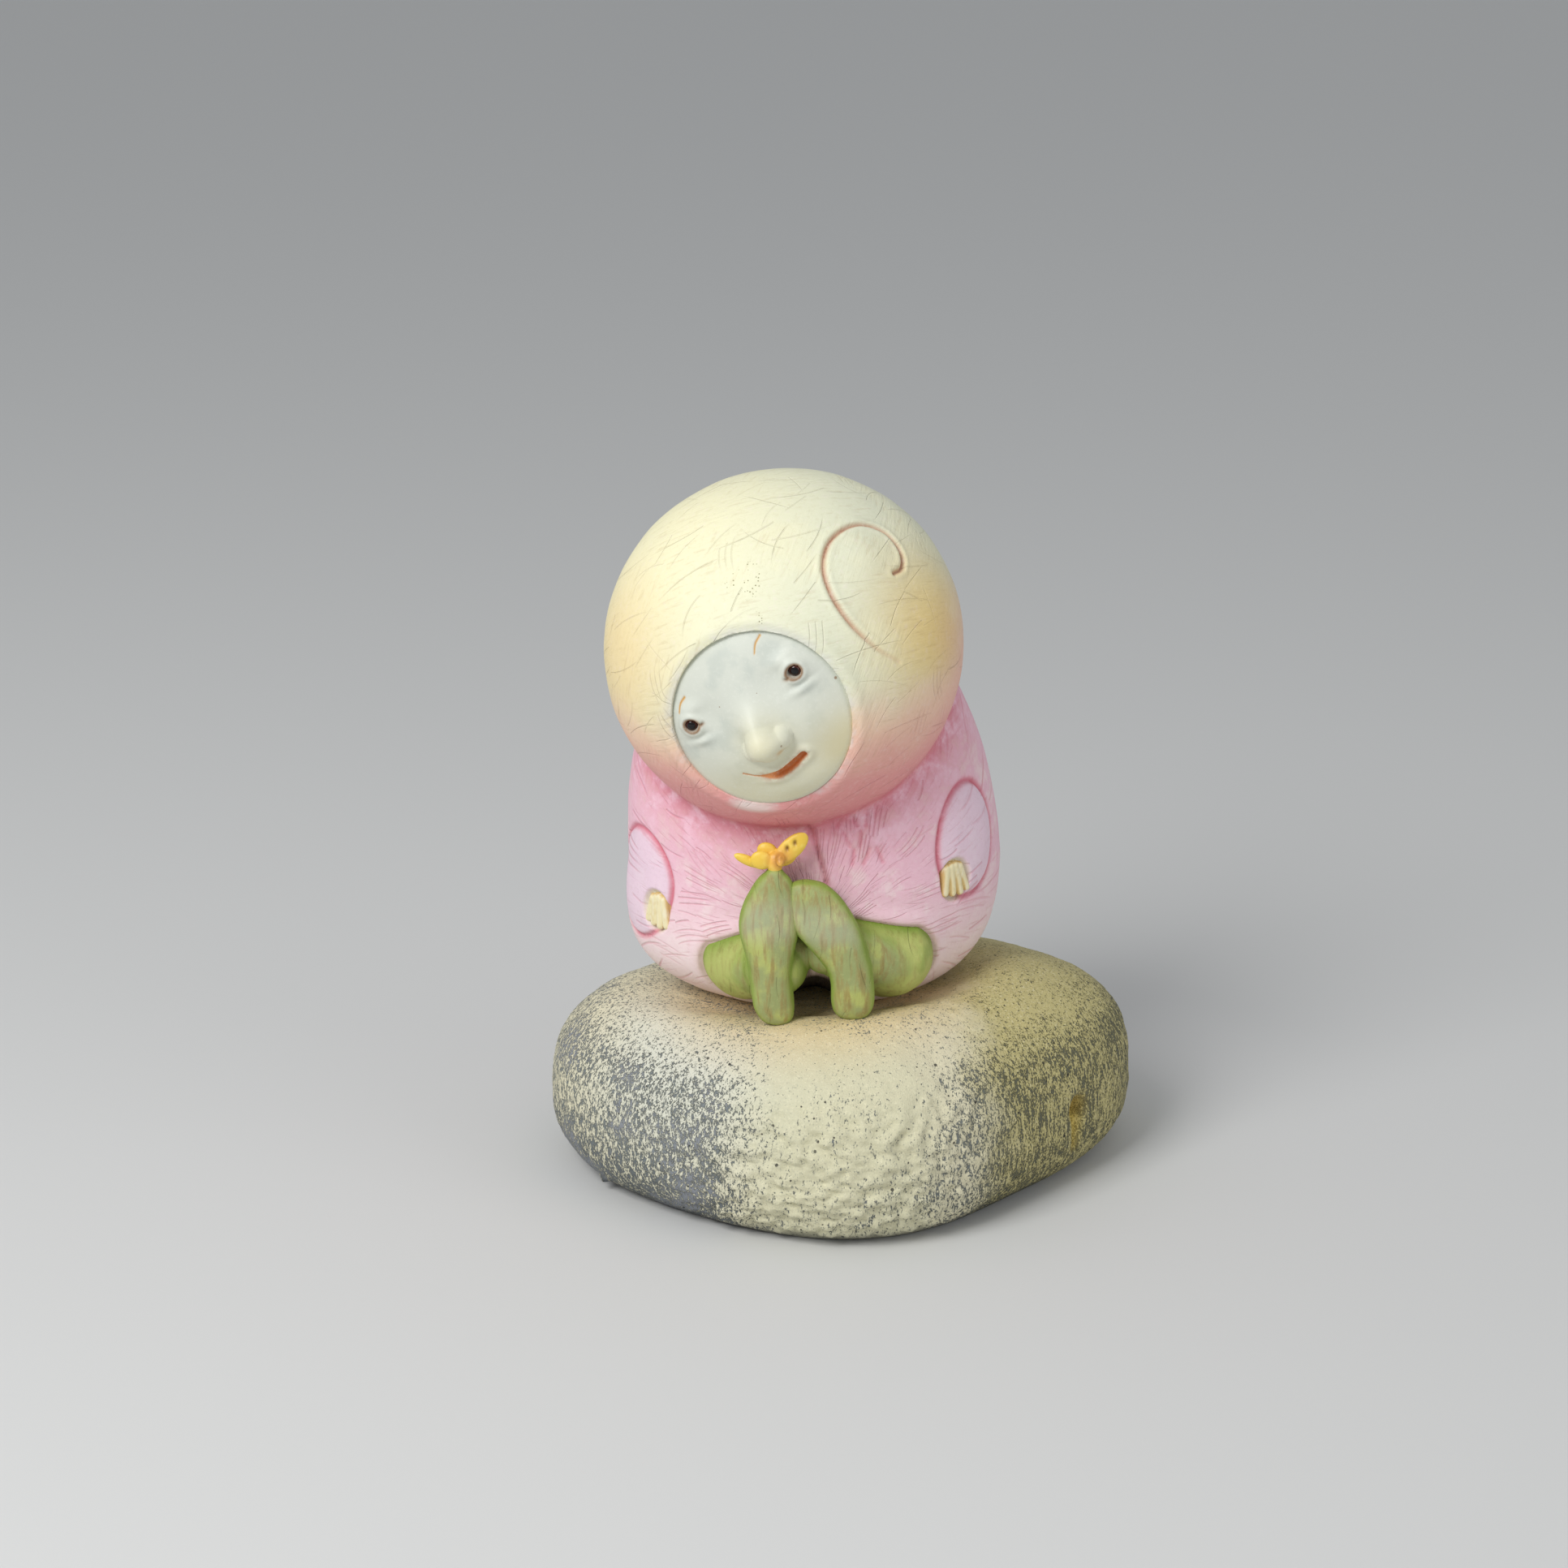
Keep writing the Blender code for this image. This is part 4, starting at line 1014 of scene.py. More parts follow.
def face_height(across, up):
    """How far the face stands out along its own axis, and the regions for its paint."""
    reach = face_reach(across, up)
    base = np.sqrt(HEAD_RADIUS**2 - np.minimum(np.hypot(across, up), FACE_RADIUS * 1.12) ** 2)
    base -= FACE_RECESS - 0.0010 * ramp(-up, -0.004, 0.026)
    base -= 0.0003 * ramp(reach, FACE_RADIUS * 0.94, FACE_RADIUS)

    nose = [rise * dome(across, up, side, NOSE_HEIGHT + lift, wide, tall)
            for rise, side, lift, wide, tall in NOSE]
    bridge = 0.0050 * bell(across / 0.0044, np.clip(up - 0.0005, 0, 1) / 0.0072)
    nose.append(bridge * ramp(up, NOSE_HEIGHT - 0.0070, NOSE_HEIGHT + 0.0010))
    relief = 1.06 * sum(part**4 for part in nose) ** 0.25
    relief += 0.0012 * bell(across / 0.0095, (up - NOSE_HEIGHT - 0.001) / 0.0100)

    lid = np.zeros_like(across)
    for side in (-1, 1):
        x = (EYE_SPREAD * side - across) * side
        y = up - EYE_HEIGHT
        ring = np.hypot(x, y)
        for rise, inward, lift, wide, tall in EYE_RELIEF:
            relief += rise * bell((x - inward) / wide, (y - lift) / tall)
        relief += 0.0009 * bell((ring - 0.0034) / 0.0009) * (0.45 + 0.55 * ramp(y, -0.0015, 0.0015))
        opening = np.sqrt((x / np.where(x > 0, 0.0023, 0.0019)) ** 2 + (y / 0.00185) ** 2)
        corner = bell((x - 0.0034) / 0.0011, (y + 0.0009) / 0.0007)
        relief -= 0.0032 * (1 - ramp(opening, 0.85, 1.15)) + 0.0007 * corner
        lid = np.maximum(lid, np.maximum(bell((opening - 1.26) / 0.26), corner))

    flat = np.stack((across, up, np.zeros_like(up)), axis=1)
    path = thread([(x, y, 0) for x, y in MOUTH])
    gap, along = path_distance(flat, path, 0.008)
    above = up - np.interp(across, path[:, 0], path[:, 1])
    width = 0.00025 + 0.00120 * ramp(along, 0.22, 0.52) - 0.0003 * ramp(along, 0.80, 1.0)
    open_mouth = 1 - ramp(gap, width * 0.55, width * 1.15)
    relief -= open_mouth * (0.0004 + 0.0026 * ramp(along, 0.40, 0.62))
    relief += 0.0010 * ramp(along, 0.15, 0.5) * bell((gap - 0.0022) / 0.0013) * (above > 0)
    relief += 0.0008 * ramp(along, 0.15, 0.5) * bell((gap - 0.0024) / 0.0013) * (above < 0)
    relief += 0.0014 * bell(across / 0.0100, (up + 0.0245) / 0.0050)
    relief += 0.0010 * bell((np.abs(across) - 0.0140) / 0.0070, (up + 0.0070) / 0.0080)
    mouth = 1 - ramp(gap, width * 0.85, width * 1.25)
    lips = bell(gap / 0.0019) * ramp(along, 0.15, 0.45)

    brow = np.zeros_like(across)
    for start, end in BROWS:
        bend = (0.5 * (start[0] + end[0]) - 0.0003, 0.5 * (start[1] + end[1]) + 0.0005)
        gap, along = path_distance(flat, thread([(*start, 0), (*bend, 0), (*end, 0)], 0.0001), 0.003)
        brow = np.maximum(brow, bell(gap / (0.00022 + 0.00016 * along)))
    relief -= 0.0003 * brow
    inside = 1 - ramp(reach, FACE_RADIUS * 0.965, FACE_RADIUS)
    nostril = bell((np.abs(across) - 0.0034) / 0.0010, (up - NOSE_HEIGHT + 0.0066) / 0.0009)
    relief -= 0.0005 * nostril
    masks = {"mouth": mouth, "lips": lips, "throat": mouth * ramp(along, 0.45, 0.70),
             "brow": brow, "lid": lid, "nostril": nostril,
             "nose": bell(across / 0.0075, (up - NOSE_HEIGHT + 0.001) / 0.0080),
             "low": ramp(-up, -0.006, 0.022), "edge": ramp(reach, FACE_RADIUS * 0.90, FACE_RADIUS)}
    return base + relief * inside, masks


def face_place(across, up):
    """Where a place on the face is."""
    across, up = np.array([across]), np.array([up])
    local = np.stack((across, up, face_height(across, up)[0]), axis=1)
    return tuple(HEAD_CENTRE + swell(local @ FACE_FRAME.T)[0])


def make_face(cells=190):
    """A round plaque with the face worked in it, closed behind."""
    deselect()
    bpy.ops.mesh.primitive_grid_add(x_subdivisions=cells, y_subdivisions=cells, size=2.0)
    face = bpy.context.object
    face.name = face.data.name = "face"
    square = read_points(face)
    disc = square[:, :2] * np.sqrt(1 - square[:, 1::-1] ** 2 / 2) * (FACE_RADIUS + 0.0012)
    tall = np.array((math.sin(math.radians(FACE_ROLL)), math.cos(math.radians(FACE_ROLL))))
    across, up = (disc + np.outer(disc @ tall, tall) * (FACE_TALL - 1)).T
    height, masks = face_height(across, up)
    local = np.stack((across, up, height), axis=1)
    write_points(face, HEAD_CENTRE + swell(local @ FACE_FRAME.T))
    for name, values in masks.items():
        store(face, name, values)
    only(face)
    bpy.ops.object.mode_set(mode="EDIT")
    bpy.ops.mesh.select_mode(type="EDGE")
    bpy.ops.mesh.select_all(action="DESELECT")
    bpy.ops.mesh.select_non_manifold()
    back = tuple(-0.0035 * FACE_FRAME[:, 2])
    bpy.ops.mesh.extrude_region_move(TRANSFORM_OT_translate={"value": back})
    bpy.ops.mesh.edge_face_add()
    bpy.ops.mesh.select_all(action="SELECT")
    bpy.ops.mesh.normals_make_consistent(inside=False)
    bpy.ops.object.mode_set(mode="OBJECT")
    return face


def face_finish(paint):
    """Smooth pale clay, cooler in patches and darker round its rim as painted shade, and warmer on the nose
    and chin.
    """
    f = Finish("pale_face", Roughness=0.48, Specular_IOR_Level=0.4)
    patchy = f.noise(0.010, detail=3)
    fine = f.noise(0.0012, detail=3, roughness=0.6)
    base = f.mix(paint.skin, paint.shade, f.ramp(patchy, 0.46, 0.64) * 0.50)
    base = f.mix(base, paint.warm, f.attribute("nose") * 0.75)
    base = f.mix(base, paint.warm, f.attribute("low") * (0.40 + patchy * 0.5))
    # Painted shade: the face darkens towards its rim, where the hood's lip shades it.
    base = f.mix(base, paint.shade, f.attribute("edge") * 0.45)
    base = f.mix(base, paint.lip, f.attribute("lips") * f.ramp(f.noise(0.0022), 0.36, 0.60) * 0.62)
    base = f.mix(base, paint.mouth, f.attribute("mouth"))
    base = f.mix(base, paint.lip, f.attribute("throat"))
    base = f.mix(base, paint.brow, f.attribute("brow"))
    base = f.mix(base, paint.lid, f.attribute("lid") * 0.95)
    base = f.mix(base, paint.brow, f.attribute("nostril") * 0.5)
    base = f.mix(base, paint.bloom, f.ramp(fine, 0.52, 0.70) * 0.16)
    for across, up, size in ((-0.0074, 0.0123, 0.0003), (0.0060, 0.0108, 0.00022), (0.0052, -0.0062, 0.0005),
                             (0.0285, 0.0008, 0.0007)):
        base = f.mix(base, paint.lid, f.spot(face_place(across, up), size * 0.4, size) * 0.75)
    base = f.mix(base, paint.cheek, f.spot(face_place(0.020, -0.020), 0.002, 0.016) * 0.45)
    return f.finished(base, 0.44 + patchy * 0.10, fine * 0.5 + patchy, depth=0.00010)


# The beads, hands, legs and butterfly

def bead_finish(paint, name, centre):
    """A glossy bead with a black middle and a dark red-brown ring."""
    f = Finish(name + "_glass", Roughness=0.04, Specular_IOR_Level=0.4)
    away = f.vectors("SUBTRACT", f.place, centre)
    out = tuple(FACE_FRAME[:, 2])
    off_axis = f.vectors("LENGTH", f.vectors("CROSS_PRODUCT", away, out), output="Value")
    base = f.mix(paint.bead, paint.iris, f.ramp(off_axis, 0.00125, 0.00160))
    base = f.mix(base, paint.bead, f.ramp(off_axis, 0.00185, 0.0022) * 0.6)
    return f.finished(base)


def make_hand(side):
    """Fingers pressed side by side into the pocket at the sleeve's end."""
    spec = SLEEVES[side]
    parts = []
    palm = body_frame(spec["azimuth"] + math.degrees(spec["hand"][0] / BODY_HALF_WIDTH),
                      spec["height"] + spec["hand"][1])
    pad = ball("palm", 24, 16)
    sunk = Matrix.Translation((0, 0.0012, -0.0022)) @ Matrix.Diagonal((0.0056, 0.0062, 0.0018, 1))
    pad.data.transform(palm @ sunk)
    parts.append(pad)
    for k in range(FINGERS):
        order = k - (FINGERS - 1) / 2
        across = spec["hand"][0] + 1.63 * FINGER_RADIUS * order
        azimuth = spec["azimuth"] + math.degrees(across / BODY_HALF_WIDTH)
        turn = Matrix.Rotation(math.radians(spec["point"] + FINGER_FAN * order), 4, "Z")
        knuckle = body_frame(azimuth, spec["height"] + spec["hand"][1]) @ turn
        reach = FINGER_LENGTH * (1 - FINGER_TAPER * abs(order - 0.3)) / 2
        finger = ball("finger", 20, 24)
        points = read_points(finger)
        radius = np.where(points[:, 2:] > 0, 1.0, 0.8) * FINGER_RADIUS
        local = points[:, (0, 2, 1)] * radius
        local[:, 1] += np.where(points[:, 2] > 0, reach, -reach)
        local[:, 2] -= 0.62 * FINGER_RADIUS
        write_points(finger, local)
        finger.data.transform(knuckle)
        parts.append(finger)
    hand = fuse(side + "_hand", parts, 0.00030)
    modify(hand, "SMOOTH", factor=0.5, iterations=2)
    points = read_points(hand)
    out = body_coordinates(points)[1]
    store(hand, "between", ramp(out, out.max() * 0.55, out.max() * 0.10))
    return hand


def hand_finish(paint):
    """Cream clay with ochre between the fingers."""
    f = Finish("cream_fingers", Roughness=0.6)
    patchy = f.noise(0.0030, detail=3)
    streak = f.noise(0.0014, f.mapped(f.place, (1, 1, 0.25)), detail=2)
    base = f.mix(paint.butter, paint.ochre, f.attribute("between") * 0.85)
    base = f.mix(base, paint.straw, f.ramp(patchy, 0.50, 0.66) * 0.40)
    base = f.mix(base, paint.light, f.ramp(streak, 0.52, 0.66) * 0.40)
    return f.finished(base, None, streak, depth=0.00012)


def make_leg(side):
    """A stockinged leg and foot in one skin."""
    parts = [shape(ball("leg", 96, 72), limb_shape(side)), shape(ball("foot", 96, 96), foot_shape(side))]
    calf = ball("calf", 48, 32)
    place, sizes = CALVES[side]
    calf.data.transform(Matrix.Translation(place) @ Matrix.Diagonal((*sizes, 1)))
    parts.append(calf)
    if side == "left":
        knob = ball("toe", 32, 24)
        knob.data.transform(Matrix.Translation(toe_tip()) @ Matrix.Diagonal((TOE_KNOB,) * 3 + (1,)))
        parts.append(knob)
    leg = fuse(side + "_leg", parts, 0.00055)
    modify(leg, "SMOOTH", factor=0.5, iterations=6)
    roughen(leg, "pinched_" + side, 0.009, 0.0005)
    points, normals = read_points(leg), read_points(leg, "normal")
    spec = FEET[side]
    along = np.clip((points[:, 2] - spec["heel"]) / (spec["toe"] - spec["heel"]), 0, 1)
    on_foot = ramp(-points[:, 1], 0.0385, 0.0425)
    store(leg, "sole", on_foot * ramp(-normals[:, 1], 0.45, 0.95))
    store(leg, "foot", on_foot)
    store(leg, "toe", on_foot * along)
    store(leg, "hem", bell(body_coordinates(points)[1] / 0.0030))
    return leg


def stocking_finish(paint):
    """Green wash, darker at the edges, with pale sage and ochre rubbed along the soles."""
    f = Finish("green_stockings", Roughness=0.58, Specular_IOR_Level=0.4)
    streak = f.noise(0.0019, f.mapped(f.place, (1, 1, 0.13)), detail=4, roughness=0.6)
    patchy = f.noise(0.010, detail=3)
    fine = f.noise(0.0014, detail=3, roughness=0.65)
    sole, toe = f.attribute("sole"), f.attribute("toe")
    base = f.mix(paint.leaf, paint.moss, f.ramp(patchy, 0.50, 0.70) * 0.35)
    base = f.mix(base, paint.ochre, f.ramp(streak, 0.46, 0.66) * 0.35)
    base = f.mix(base, paint.moss, f.attribute("foot") * (1 - sole) * 0.70)
    base = f.mix(base, paint.sage, sole * f.ramp(patchy, 0.36, 0.56) * 0.80)
    base = f.mix(base, paint.ochre, sole * f.ramp(streak, 0.44, 0.62) * 0.62)
    base = f.mix(base, paint.worn, sole * f.ramp(toe, 0.50, 0.66) * f.ramp(toe, 0.92, 0.74) * 0.24)
    base = f.mix(base, paint.moss, f.attribute("hem") * 0.85)
    base = f.mix(base, paint.bark, f.ramp(streak, 0.58, 0.70) * 0.20)
    base = f.mix(base, paint.pith, f.ramp(fine, 0.54, 0.72) * 0.12)
    x, z = f.part(f.place, 0), f.part(f.place, 2)
    scratch = f.strokes(x, z, 0.0085, 0.0070, 0.00035, 90, 40, 9.2, keep=0.7)
    base = f.mix(base, paint.nick, scratch * 0.16)
    return f.finished(base, None, 0.4 + streak * 0.5 + fine * 0.35 - scratch * 0.5, depth=0.0004)


def make_butterfly():
    """Soft lobes pinched round a short body."""
    tip = toe_tip()
    parts = []

    def lump(place, sizes):
        part = ball("lump", 40, 28)
        part.data.transform(place @ Matrix.Diagonal((*sizes, 1)))
        parts.append(part)

    lump(Matrix.Translation(tip + Vector((0, 0, TOE_KNOB + 0.0010))), (0.0026, 0.0026, 0.0040))
    body = Matrix.Translation(tip + Vector((0.0018, -0.0010, 0.0070)))
    lump(body @ Matrix.Rotation(math.radians(-60), 4, "X"), (0.0017, 0.0017, 0.0040))
    for offset, halves, turn in LOBES.values():
        place = Matrix.Translation(tip + Vector(offset)) @ Matrix.Rotation(math.radians(turn), 4, "Y")
        lump(place, (halves[0], WING_THICKNESS / 2, halves[1]))
    butterfly = fuse("butterfly_on_toe", parts, 0.00028)
    modify(butterfly, "SMOOTH", factor=0.5, iterations=4)
    points, normals = read_points(butterfly), read_points(butterfly, "normal")
    wing_offset, _, wing_turn = LOBES["right_wing"]
    turn = Matrix.Rotation(math.radians(wing_turn), 3, "Y")
    holes = np.zeros(len(points))
    for along, across in ((-0.0008, 0.0012), (0.0024, 0.0008)):
        place = tip + Vector(wing_offset) + turn @ Vector((along, -WING_THICKNESS / 2, across))
        gap = np.linalg.norm((points - np.array(place)) * (1, 1, 0.6), axis=1)
        holes = np.maximum(holes, bell(gap / 0.00065))
    write_points(butterfly, points - normals * (0.0009 * holes)[:, None])
    centre = np.array(tip + Vector((0.0016, -0.0022, 0.0064)))
    store(butterfly, "spots", holes)
    store(butterfly, "inner", bell(np.linalg.norm(points - centre, axis=1) / 0.0042))
    store(butterfly, "body", bell(np.linalg.norm((points - centre) * (1, 1, 0.8), axis=1) / 0.0017))
    return butterfly


def butterfly_finish(paint):
    """Warm yellow glaze, orange inside, with a brown body and spots."""
    f = Finish("yellow_glaze", Roughness=0.42, Specular_IOR_Level=0.5)
    patchy = f.noise(0.0035, detail=3)
    base = f.mix(paint.wing, paint.lemon, f.ramp(patchy, 0.50, 0.66) * 0.6)
    base = f.mix(base, paint.inner, f.attribute("inner") * 0.85)
    base = f.mix(base, paint.body, f.attribute("body") * f.ramp(patchy, 0.30, 0.50) * 0.85)
    base = f.mix(base, paint.body, f.attribute("spots") * 0.9)
    return f.finished(base, None, patchy, depth=0.0003)


# The stone

def stone_plan(angle):
    return 1 + sum(share * np.cos(wave * angle - math.radians(turn)) for wave, share, turn in STONE_PLAN)


def stone_shape(points):
    """Moves the unit sphere to the pebble, with its dish and its flat underside."""
    angle = np.arctan2(points[:, 1], points[:, 0])
    lift = np.clip(points[:, 2], -1, 1)
    reach = np.sqrt(1 - lift**2)
    fullness = np.where(lift > 0, STONE_TOP_FULLNESS, STONE_FOOT_FULLNESS)
    full = (reach**fullness + np.abs(lift) ** fullness) ** (-1 / fullness)
    flat = reach * full * stone_plan(angle)
    x, y = flat * np.cos(angle), flat * np.sin(angle)
    z = lift * full * np.where(lift > 0, STONE_RISE, STONE_DROP)
    ring = np.linspace(-math.pi, math.pi, 720)
    outline = stone_plan(ring)[:, None] * np.stack((np.cos(ring), np.sin(ring)), axis=1)
    low, high = outline.min(0), outline.max(0)
    x = ((x - low[0]) / (high[0] - low[0]) - 0.5) * STONE_WIDTH
    y = ((y - low[1]) / (high[1] - low[1]) - 0.5) * STONE_DEPTH
    share = np.clip(z / STONE_RISE, 0, 1)
    away = np.hypot((x - BODY_X) / DISH_HALF_WIDTH, (y - BODY_Y) / DISH_HALF_DEPTH)
    z = z + STONE_WAIST + STONE_TILT * x * share * ramp(away, 0.4, 0.8)
    z -= STONE_FALL * share * ramp(y, 0.0, 0.05) * ramp(away, 0.6, 1.1)
    z -= (STONE_WAIST + STONE_RISE - SEAT_HEIGHT - 0.0006) * (1 - ramp(away, 0.55, 1.05)) * share
    return np.stack((x, y, np.maximum(z, 0)), axis=1)


def make_stone():
    """The pebble, with rough grain low at the front, a drop-shaped pit and its scar."""
    stone = shape(ball("stone", 400, 220), stone_shape)
    points = read_points(stone)
    above = ramp(points[:, 2], 0.0005, 0.006)
    front = ramp(-points[:, 1], 0.020, 0.070) * ramp(GRAIN_TOP - points[:, 2], 0.0, 0.022)
    front *= ramp(GRAIN_RIGHT - points[:, 0], 0.0, 0.04) * ramp(points[:, 0] - GRAIN_LEFT, 0.0, 0.05)
    grain = weigh(stone, "grain", above * front)
    all_over = weigh(stone, "all_over", above * 0.9)
    roughen(stone, "coarse_grain", 0.0040, 0.0028, grain, noise_depth=2, contrast=1.8)
    roughen(stone, "stone_waver", 0.022, 0.0016, all_over)
    roughen(stone, "stone_grit", 0.0035, 0.0007, all_over)
    points = read_points(stone)
    pit_top, pit_foot = (points[np.argmin(np.linalg.norm(points - place, axis=1))] for place in PIT)
    refine(stone, np.linalg.norm((points - (pit_top + pit_foot) / 2) * (1, 1, 0.7), axis=1) < 0.011, cuts=3)
    points, normals = read_points(stone), read_points(stone, "normal")
    gap, along = path_distance(points, np.linspace(pit_top, pit_foot, 60), 0.008)
    hole = bell(np.linalg.norm(points - pit_top, axis=1) / PIT_RADIUS)
    hollow = bell(gap / (0.0029 - 0.0014 * along)) * (1 - ramp(along, 0.85, 1.0))
    nub_place = points[np.argmin(np.linalg.norm(points - NUB, axis=1))]
    nub = bell(np.linalg.norm(points - nub_place, axis=1) / NUB_RADIUS)
    points -= normals * (PIT_DEPTH * hole + SCAR_DEPTH * hollow - NUB_RISE * nub)[:, None]
    points[:, 2] = np.maximum(points[:, 2], 0)
    store(stone, "pit", np.clip(hole + hollow, 0, 1))
    store(stone, "hole", hole)
    write_points(stone, points)
    return stone


def stone_finish(paint):
    """Cream skin worn through to slate, in chips that run down the sides, with specks of iron, and with
    painted shade at the foot and in part on the right side.
    """
    f = Finish("worn_stoneware", Roughness=0.72, Specular_IOR_Level=0.35)
    x, y, z = (f.part(f.place, axis) for axis in range(3))
    run_down = f.noise(0.0012, f.mapped(f.place, (1, 1, 0.42), (0, 12, 0)), detail=5, roughness=0.65)
    aslant = f.noise(0.0012, f.mapped(f.place, (1, 1, 0.22), (0, 36, 0)), detail=5, roughness=0.65)
    small = f.noise(0.0005, f.mapped(f.place, (1, 1, 0.6)), detail=2, roughness=0.6)
    broad = f.noise(0.022, detail=4, roughness=0.6)
    fine = f.noise(0.0009, detail=4, roughness=0.7)
    top = f.ramp(z + broad * 0.012, 0.052, 0.072)
    left = f.ramp(x, -0.010, -0.070)
    # The right side: its own olive skin and aslant chips, and partly painted shade on the side away from the
    # light.
    right = f.ramp(x + y * 0.3 + (broad - 0.5) * 0.05, 0.012, 0.044)
    chips = run_down * (1 - right * 0.7) + aslant * right * 0.7
    foot = f.ramp(z, 0.034, 0.006)
    front = f.ramp(y, -0.050, -0.075) * f.ramp(abs(x + 0.002), 0.045, 0.018)
    wear = 0.462 + left * 0.018 + right * 0.016 + foot * left * 0.040 + foot * 0.012
    wear = wear - top * (0.062 + right * 0.006 + left * 0.018) - front * 0.072
    wear = wear + (broad - 0.5) * 0.20
    depth = wear - chips * 0.6 - small * 0.4
    worn, bare = f.ramp(depth, -0.085, -0.010), f.ramp(depth, -0.030, 0.040)
    crust = f.mix(paint.crust, paint.chalk, f.spot((-0.050, -0.050, 0.050), 0.010, 0.060) * 0.75)
    # Partly painted shade: the skin, the bare clay and the half-worn skin are darker on the right.
    crust = f.mix(crust, paint.straw, right * 0.80)
    crust = f.mix(crust, paint.bone, front * 0.60)
    crust = f.mix(crust, paint.glow, f.spot((BODY_X, -0.022, 0.060), 0.030, 0.062, (1, 1.1, 1)) * 0.55)
    crust = f.mix(crust, paint.light, f.ramp(fine, 0.52, 0.70) * 0.45)
    # Partly painted shade: the slate darkens towards the foot.
    slate = f.mix(paint.slate, paint.deep, foot * 0.60)
    slate = f.mix(slate, paint.haze, f.ramp(broad, 0.48, 0.62) * f.ramp(x, 0.02, -0.05) * 0.55)
    slate = f.mix(slate, paint.lichen, right * 0.75)
    middle = f.mix(paint.ash, paint.reed, right)
    base = f.mix(f.mix(crust, middle, worn * 0.62), slate, bare * 0.92)
    # Painted shade: a dark line along the foot where the stone meets the floor.
    base = f.mix(base, paint.painted_foot_shade, f.ramp(z, 0.007, 0.001) * 0.65)
    iron = f.specks(0.0034, 0.36, 0.00042) + f.specks(0.0075, 0.38, 0.00068)
    base = f.mix(base, paint.iron, iron * 0.85)
    base = f.mix(base, paint.scar, f.attribute("pit") * 0.95)
    base = f.mix(base, paint.hole, f.attribute("hole") * 0.90)
    height = 0.6 - bare * 0.40 + fine * 0.20 + small * 0.25 - iron * 0.3
    return f.finished(base, 0.66 + bare * 0.12, height, depth=0.00095)


# Operators

class FIGURINE_OT_stone(Operator):
    """Make the stone"""

    bl_idname = "figurine.stone"
    bl_label = "Stone"

    def execute(self, context):
        placed(make_stone(), stone_finish(context.scene.stone_paint), "stoneware", "stone_base")
        return {"FINISHED"}


class FIGURINE_OT_hooded_robe(Operator):
    """Make the hood and the robe"""

    bl_idname = "figurine.hooded_robe"
    bl_label = "Hooded robe"

    def execute(self, context):
        clay = make_hooded_robe(context.scene.clay_form)
        placed(clay, clay_finish(context.scene.clay_paint), "painted_clay", "child_figure")
        return {"FINISHED"}


class FIGURINE_OT_face(Operator):
    """Make the face"""

    bl_idname = "figurine.face"
    bl_label = "Face"

    def execute(self, context):
        placed(make_face(), face_finish(context.scene.face_paint), "painted_clay", "child_figure")
        return {"FINISHED"}


class FIGURINE_OT_eyes(Operator):
    """Make the two eye beads where the frame has them"""

    bl_idname = "figurine.eyes"
    bl_label = "Eyes"

    def execute(self, context):
        for node in ("left_eye_bead", "right_eye_bead"):
            low, high = (Vector(corner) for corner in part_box(node))
            centre, radius = (low + high) / 2, (high.x - low.x) / 2
            bead = ball(node.replace("_bead", ""), 48, 32)
            bead.data.transform(Matrix.Translation(centre) @ Matrix.Diagonal((radius,) * 3 + (1,)))
            finish = bead_finish(context.scene.face_paint, bead.name, tuple(centre))
            placed(bead, finish, "dark_bead", node)
        return {"FINISHED"}


class FIGURINE_OT_hands(Operator):
    """Make the two hands"""

    bl_idname = "figurine.hands"
    bl_label = "Hands"

    def execute(self, context):
        finish = hand_finish(context.scene.hand_paint)
        for side in SLEEVES:
            placed(make_hand(side), finish, "painted_clay", "child_figure")
        return {"FINISHED"}


class FIGURINE_OT_legs(Operator):
    """Make the two legs with their feet"""

    bl_idname = "figurine.legs"
    bl_label = "Legs"

    def execute(self, context):
        finish = stocking_finish(context.scene.stocking_paint)
        for side in LEGS:
            placed(make_leg(side), finish, "painted_clay", "child_figure")
        return {"FINISHED"}


class FIGURINE_OT_butterfly(Operator):
    """Make the butterfly"""

    bl_idname = "figurine.butterfly"
    bl_label = "Butterfly"

    def execute(self, context):
        placed(make_butterfly(), butterfly_finish(context.scene.butterfly_paint), "yellow_clay", "butterfly")
        return {"FINISHED"}


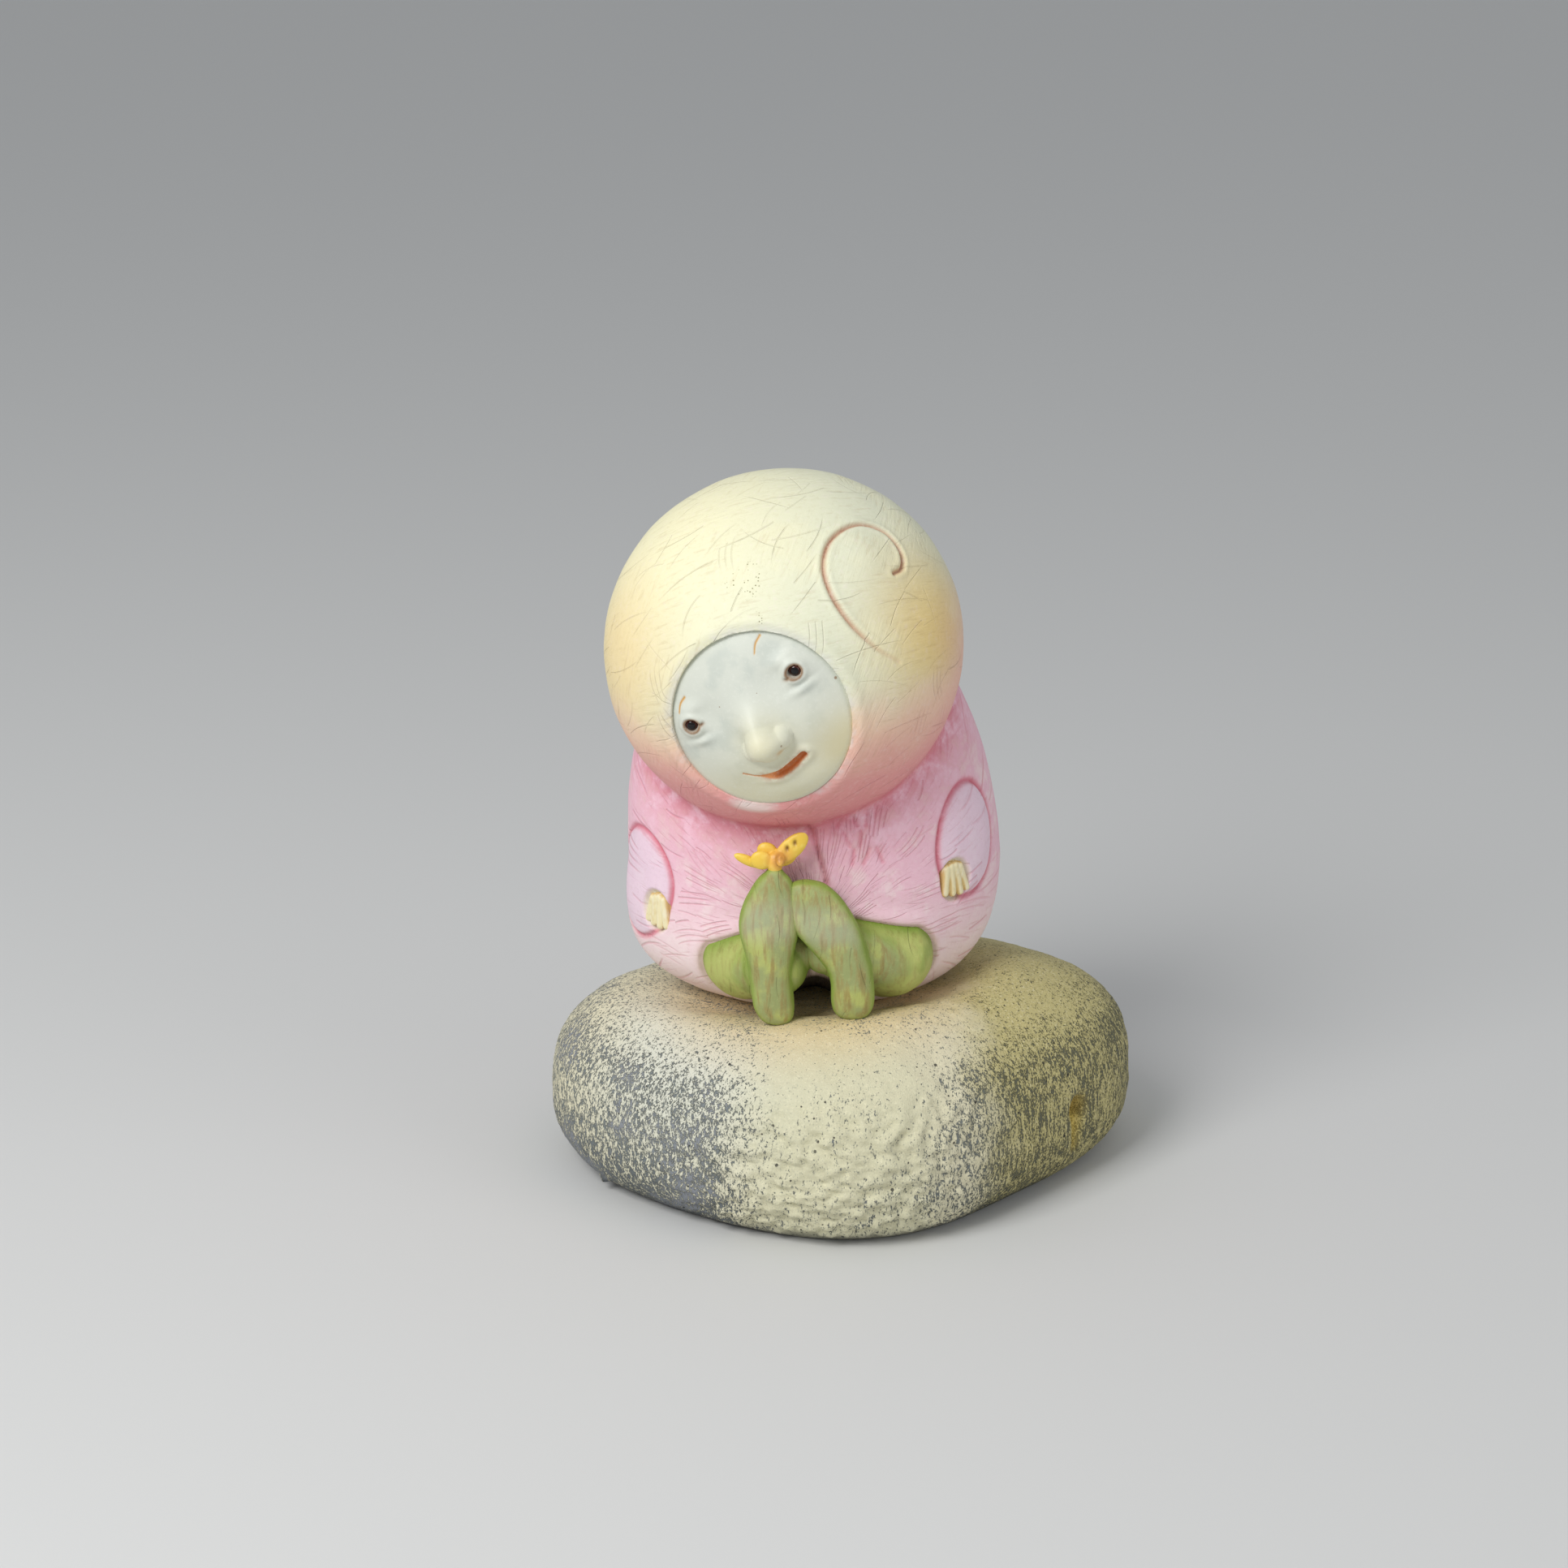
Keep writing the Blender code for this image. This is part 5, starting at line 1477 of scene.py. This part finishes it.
class FIGURINE_OT_stage(Operator):
    """Set up the floor, the lights and the camera"""

    bl_idname = "figurine.stage"
    bl_label = "Stage"

    def execute(self, context):
        setup = context.scene.stage_setup
        deselect()
        bpy.ops.mesh.primitive_plane_add(size=14, location=(0, 2, 0))
        floor = bpy.context.object
        floor.name = "floor"
        finish = Finish("pale_floor", Roughness=0.85, Base_Color=(*setup.floor, 1))
        floor.data.materials.append(finish.material)

        for name, (place, width) in LAMPS.items():
            light = bpy.data.lights.new(name, "AREA")
            light.size, light.energy = width, getattr(setup, name)
            lamp = bpy.data.objects.new(name, light)
            bpy.context.scene.collection.objects.link(lamp)
            lamp.location = place
            lamp.rotation_euler = (AIM - Vector(place)).to_track_quat("-Z", "Y").to_euler()

        world = bpy.data.worlds.new("soft_room")
        context.scene.world = world
        world.use_nodes = True
        backdrop = world.node_tree.nodes["Background"]
        backdrop.inputs["Color"].default_value = (*SKY_COLOUR, 1)
        backdrop.inputs["Strength"].default_value = setup.sky
        context.scene.view_settings.view_transform = "Standard"

        back = Vector((0, -math.cos(setup.eye_elevation), math.sin(setup.eye_elevation)))
        lens = bpy.data.cameras.new("photo_eye")
        lens.sensor_width, lens.lens = 36, setup.lens
        camera = bpy.data.objects.new("photo_eye", lens)
        bpy.context.scene.collection.objects.link(camera)
        camera.location = AIM + back * setup.eye_distance
        camera.rotation_euler = (-back).to_track_quat("-Z", "Y").to_euler()
        context.scene.camera = camera
        return {"FINISHED"}


OPERATORS = (
    FIGURINE_OT_stone,
    FIGURINE_OT_hooded_robe,
    FIGURINE_OT_face,
    FIGURINE_OT_eyes,
    FIGURINE_OT_hands,
    FIGURINE_OT_legs,
    FIGURINE_OT_butterfly,
    FIGURINE_OT_stage,
)


class FIGURINE_PT_pieces(Panel):
    """The figurine's pieces and their settings"""

    bl_label = "Clay Child Figurine"
    bl_idname = "FIGURINE_PT_pieces"
    bl_space_type = "VIEW_3D"
    bl_region_type = "UI"
    bl_category = "Figurine"

    def draw(self, context):
        for operator in OPERATORS:
            self.layout.operator(operator.bl_idname)
        for name, group in PROPERTY_GROUPS.items():
            box = self.layout.box()
            box.label(text=group.__doc__)
            for key in group.__annotations__:
                box.prop(getattr(context.scene, name), key)


def register():
    for cls in (*PROPERTY_GROUPS.values(), *OPERATORS, FIGURINE_PT_pieces):
        bpy.utils.register_class(cls)
    for name, group in PROPERTY_GROUPS.items():
        setattr(bpy.types.Scene, name, PointerProperty(type=group))


def unregister():
    for name in PROPERTY_GROUPS:
        delattr(bpy.types.Scene, name)
    for cls in (FIGURINE_PT_pieces, *reversed(OPERATORS), *reversed(PROPERTY_GROUPS.values())):
        bpy.utils.unregister_class(cls)


def main():
    register()
    for operator in OPERATORS:
        category, name = operator.bl_idname.split(".")
        getattr(getattr(bpy.ops, category), name)()


if __name__ == "__main__":
    main()
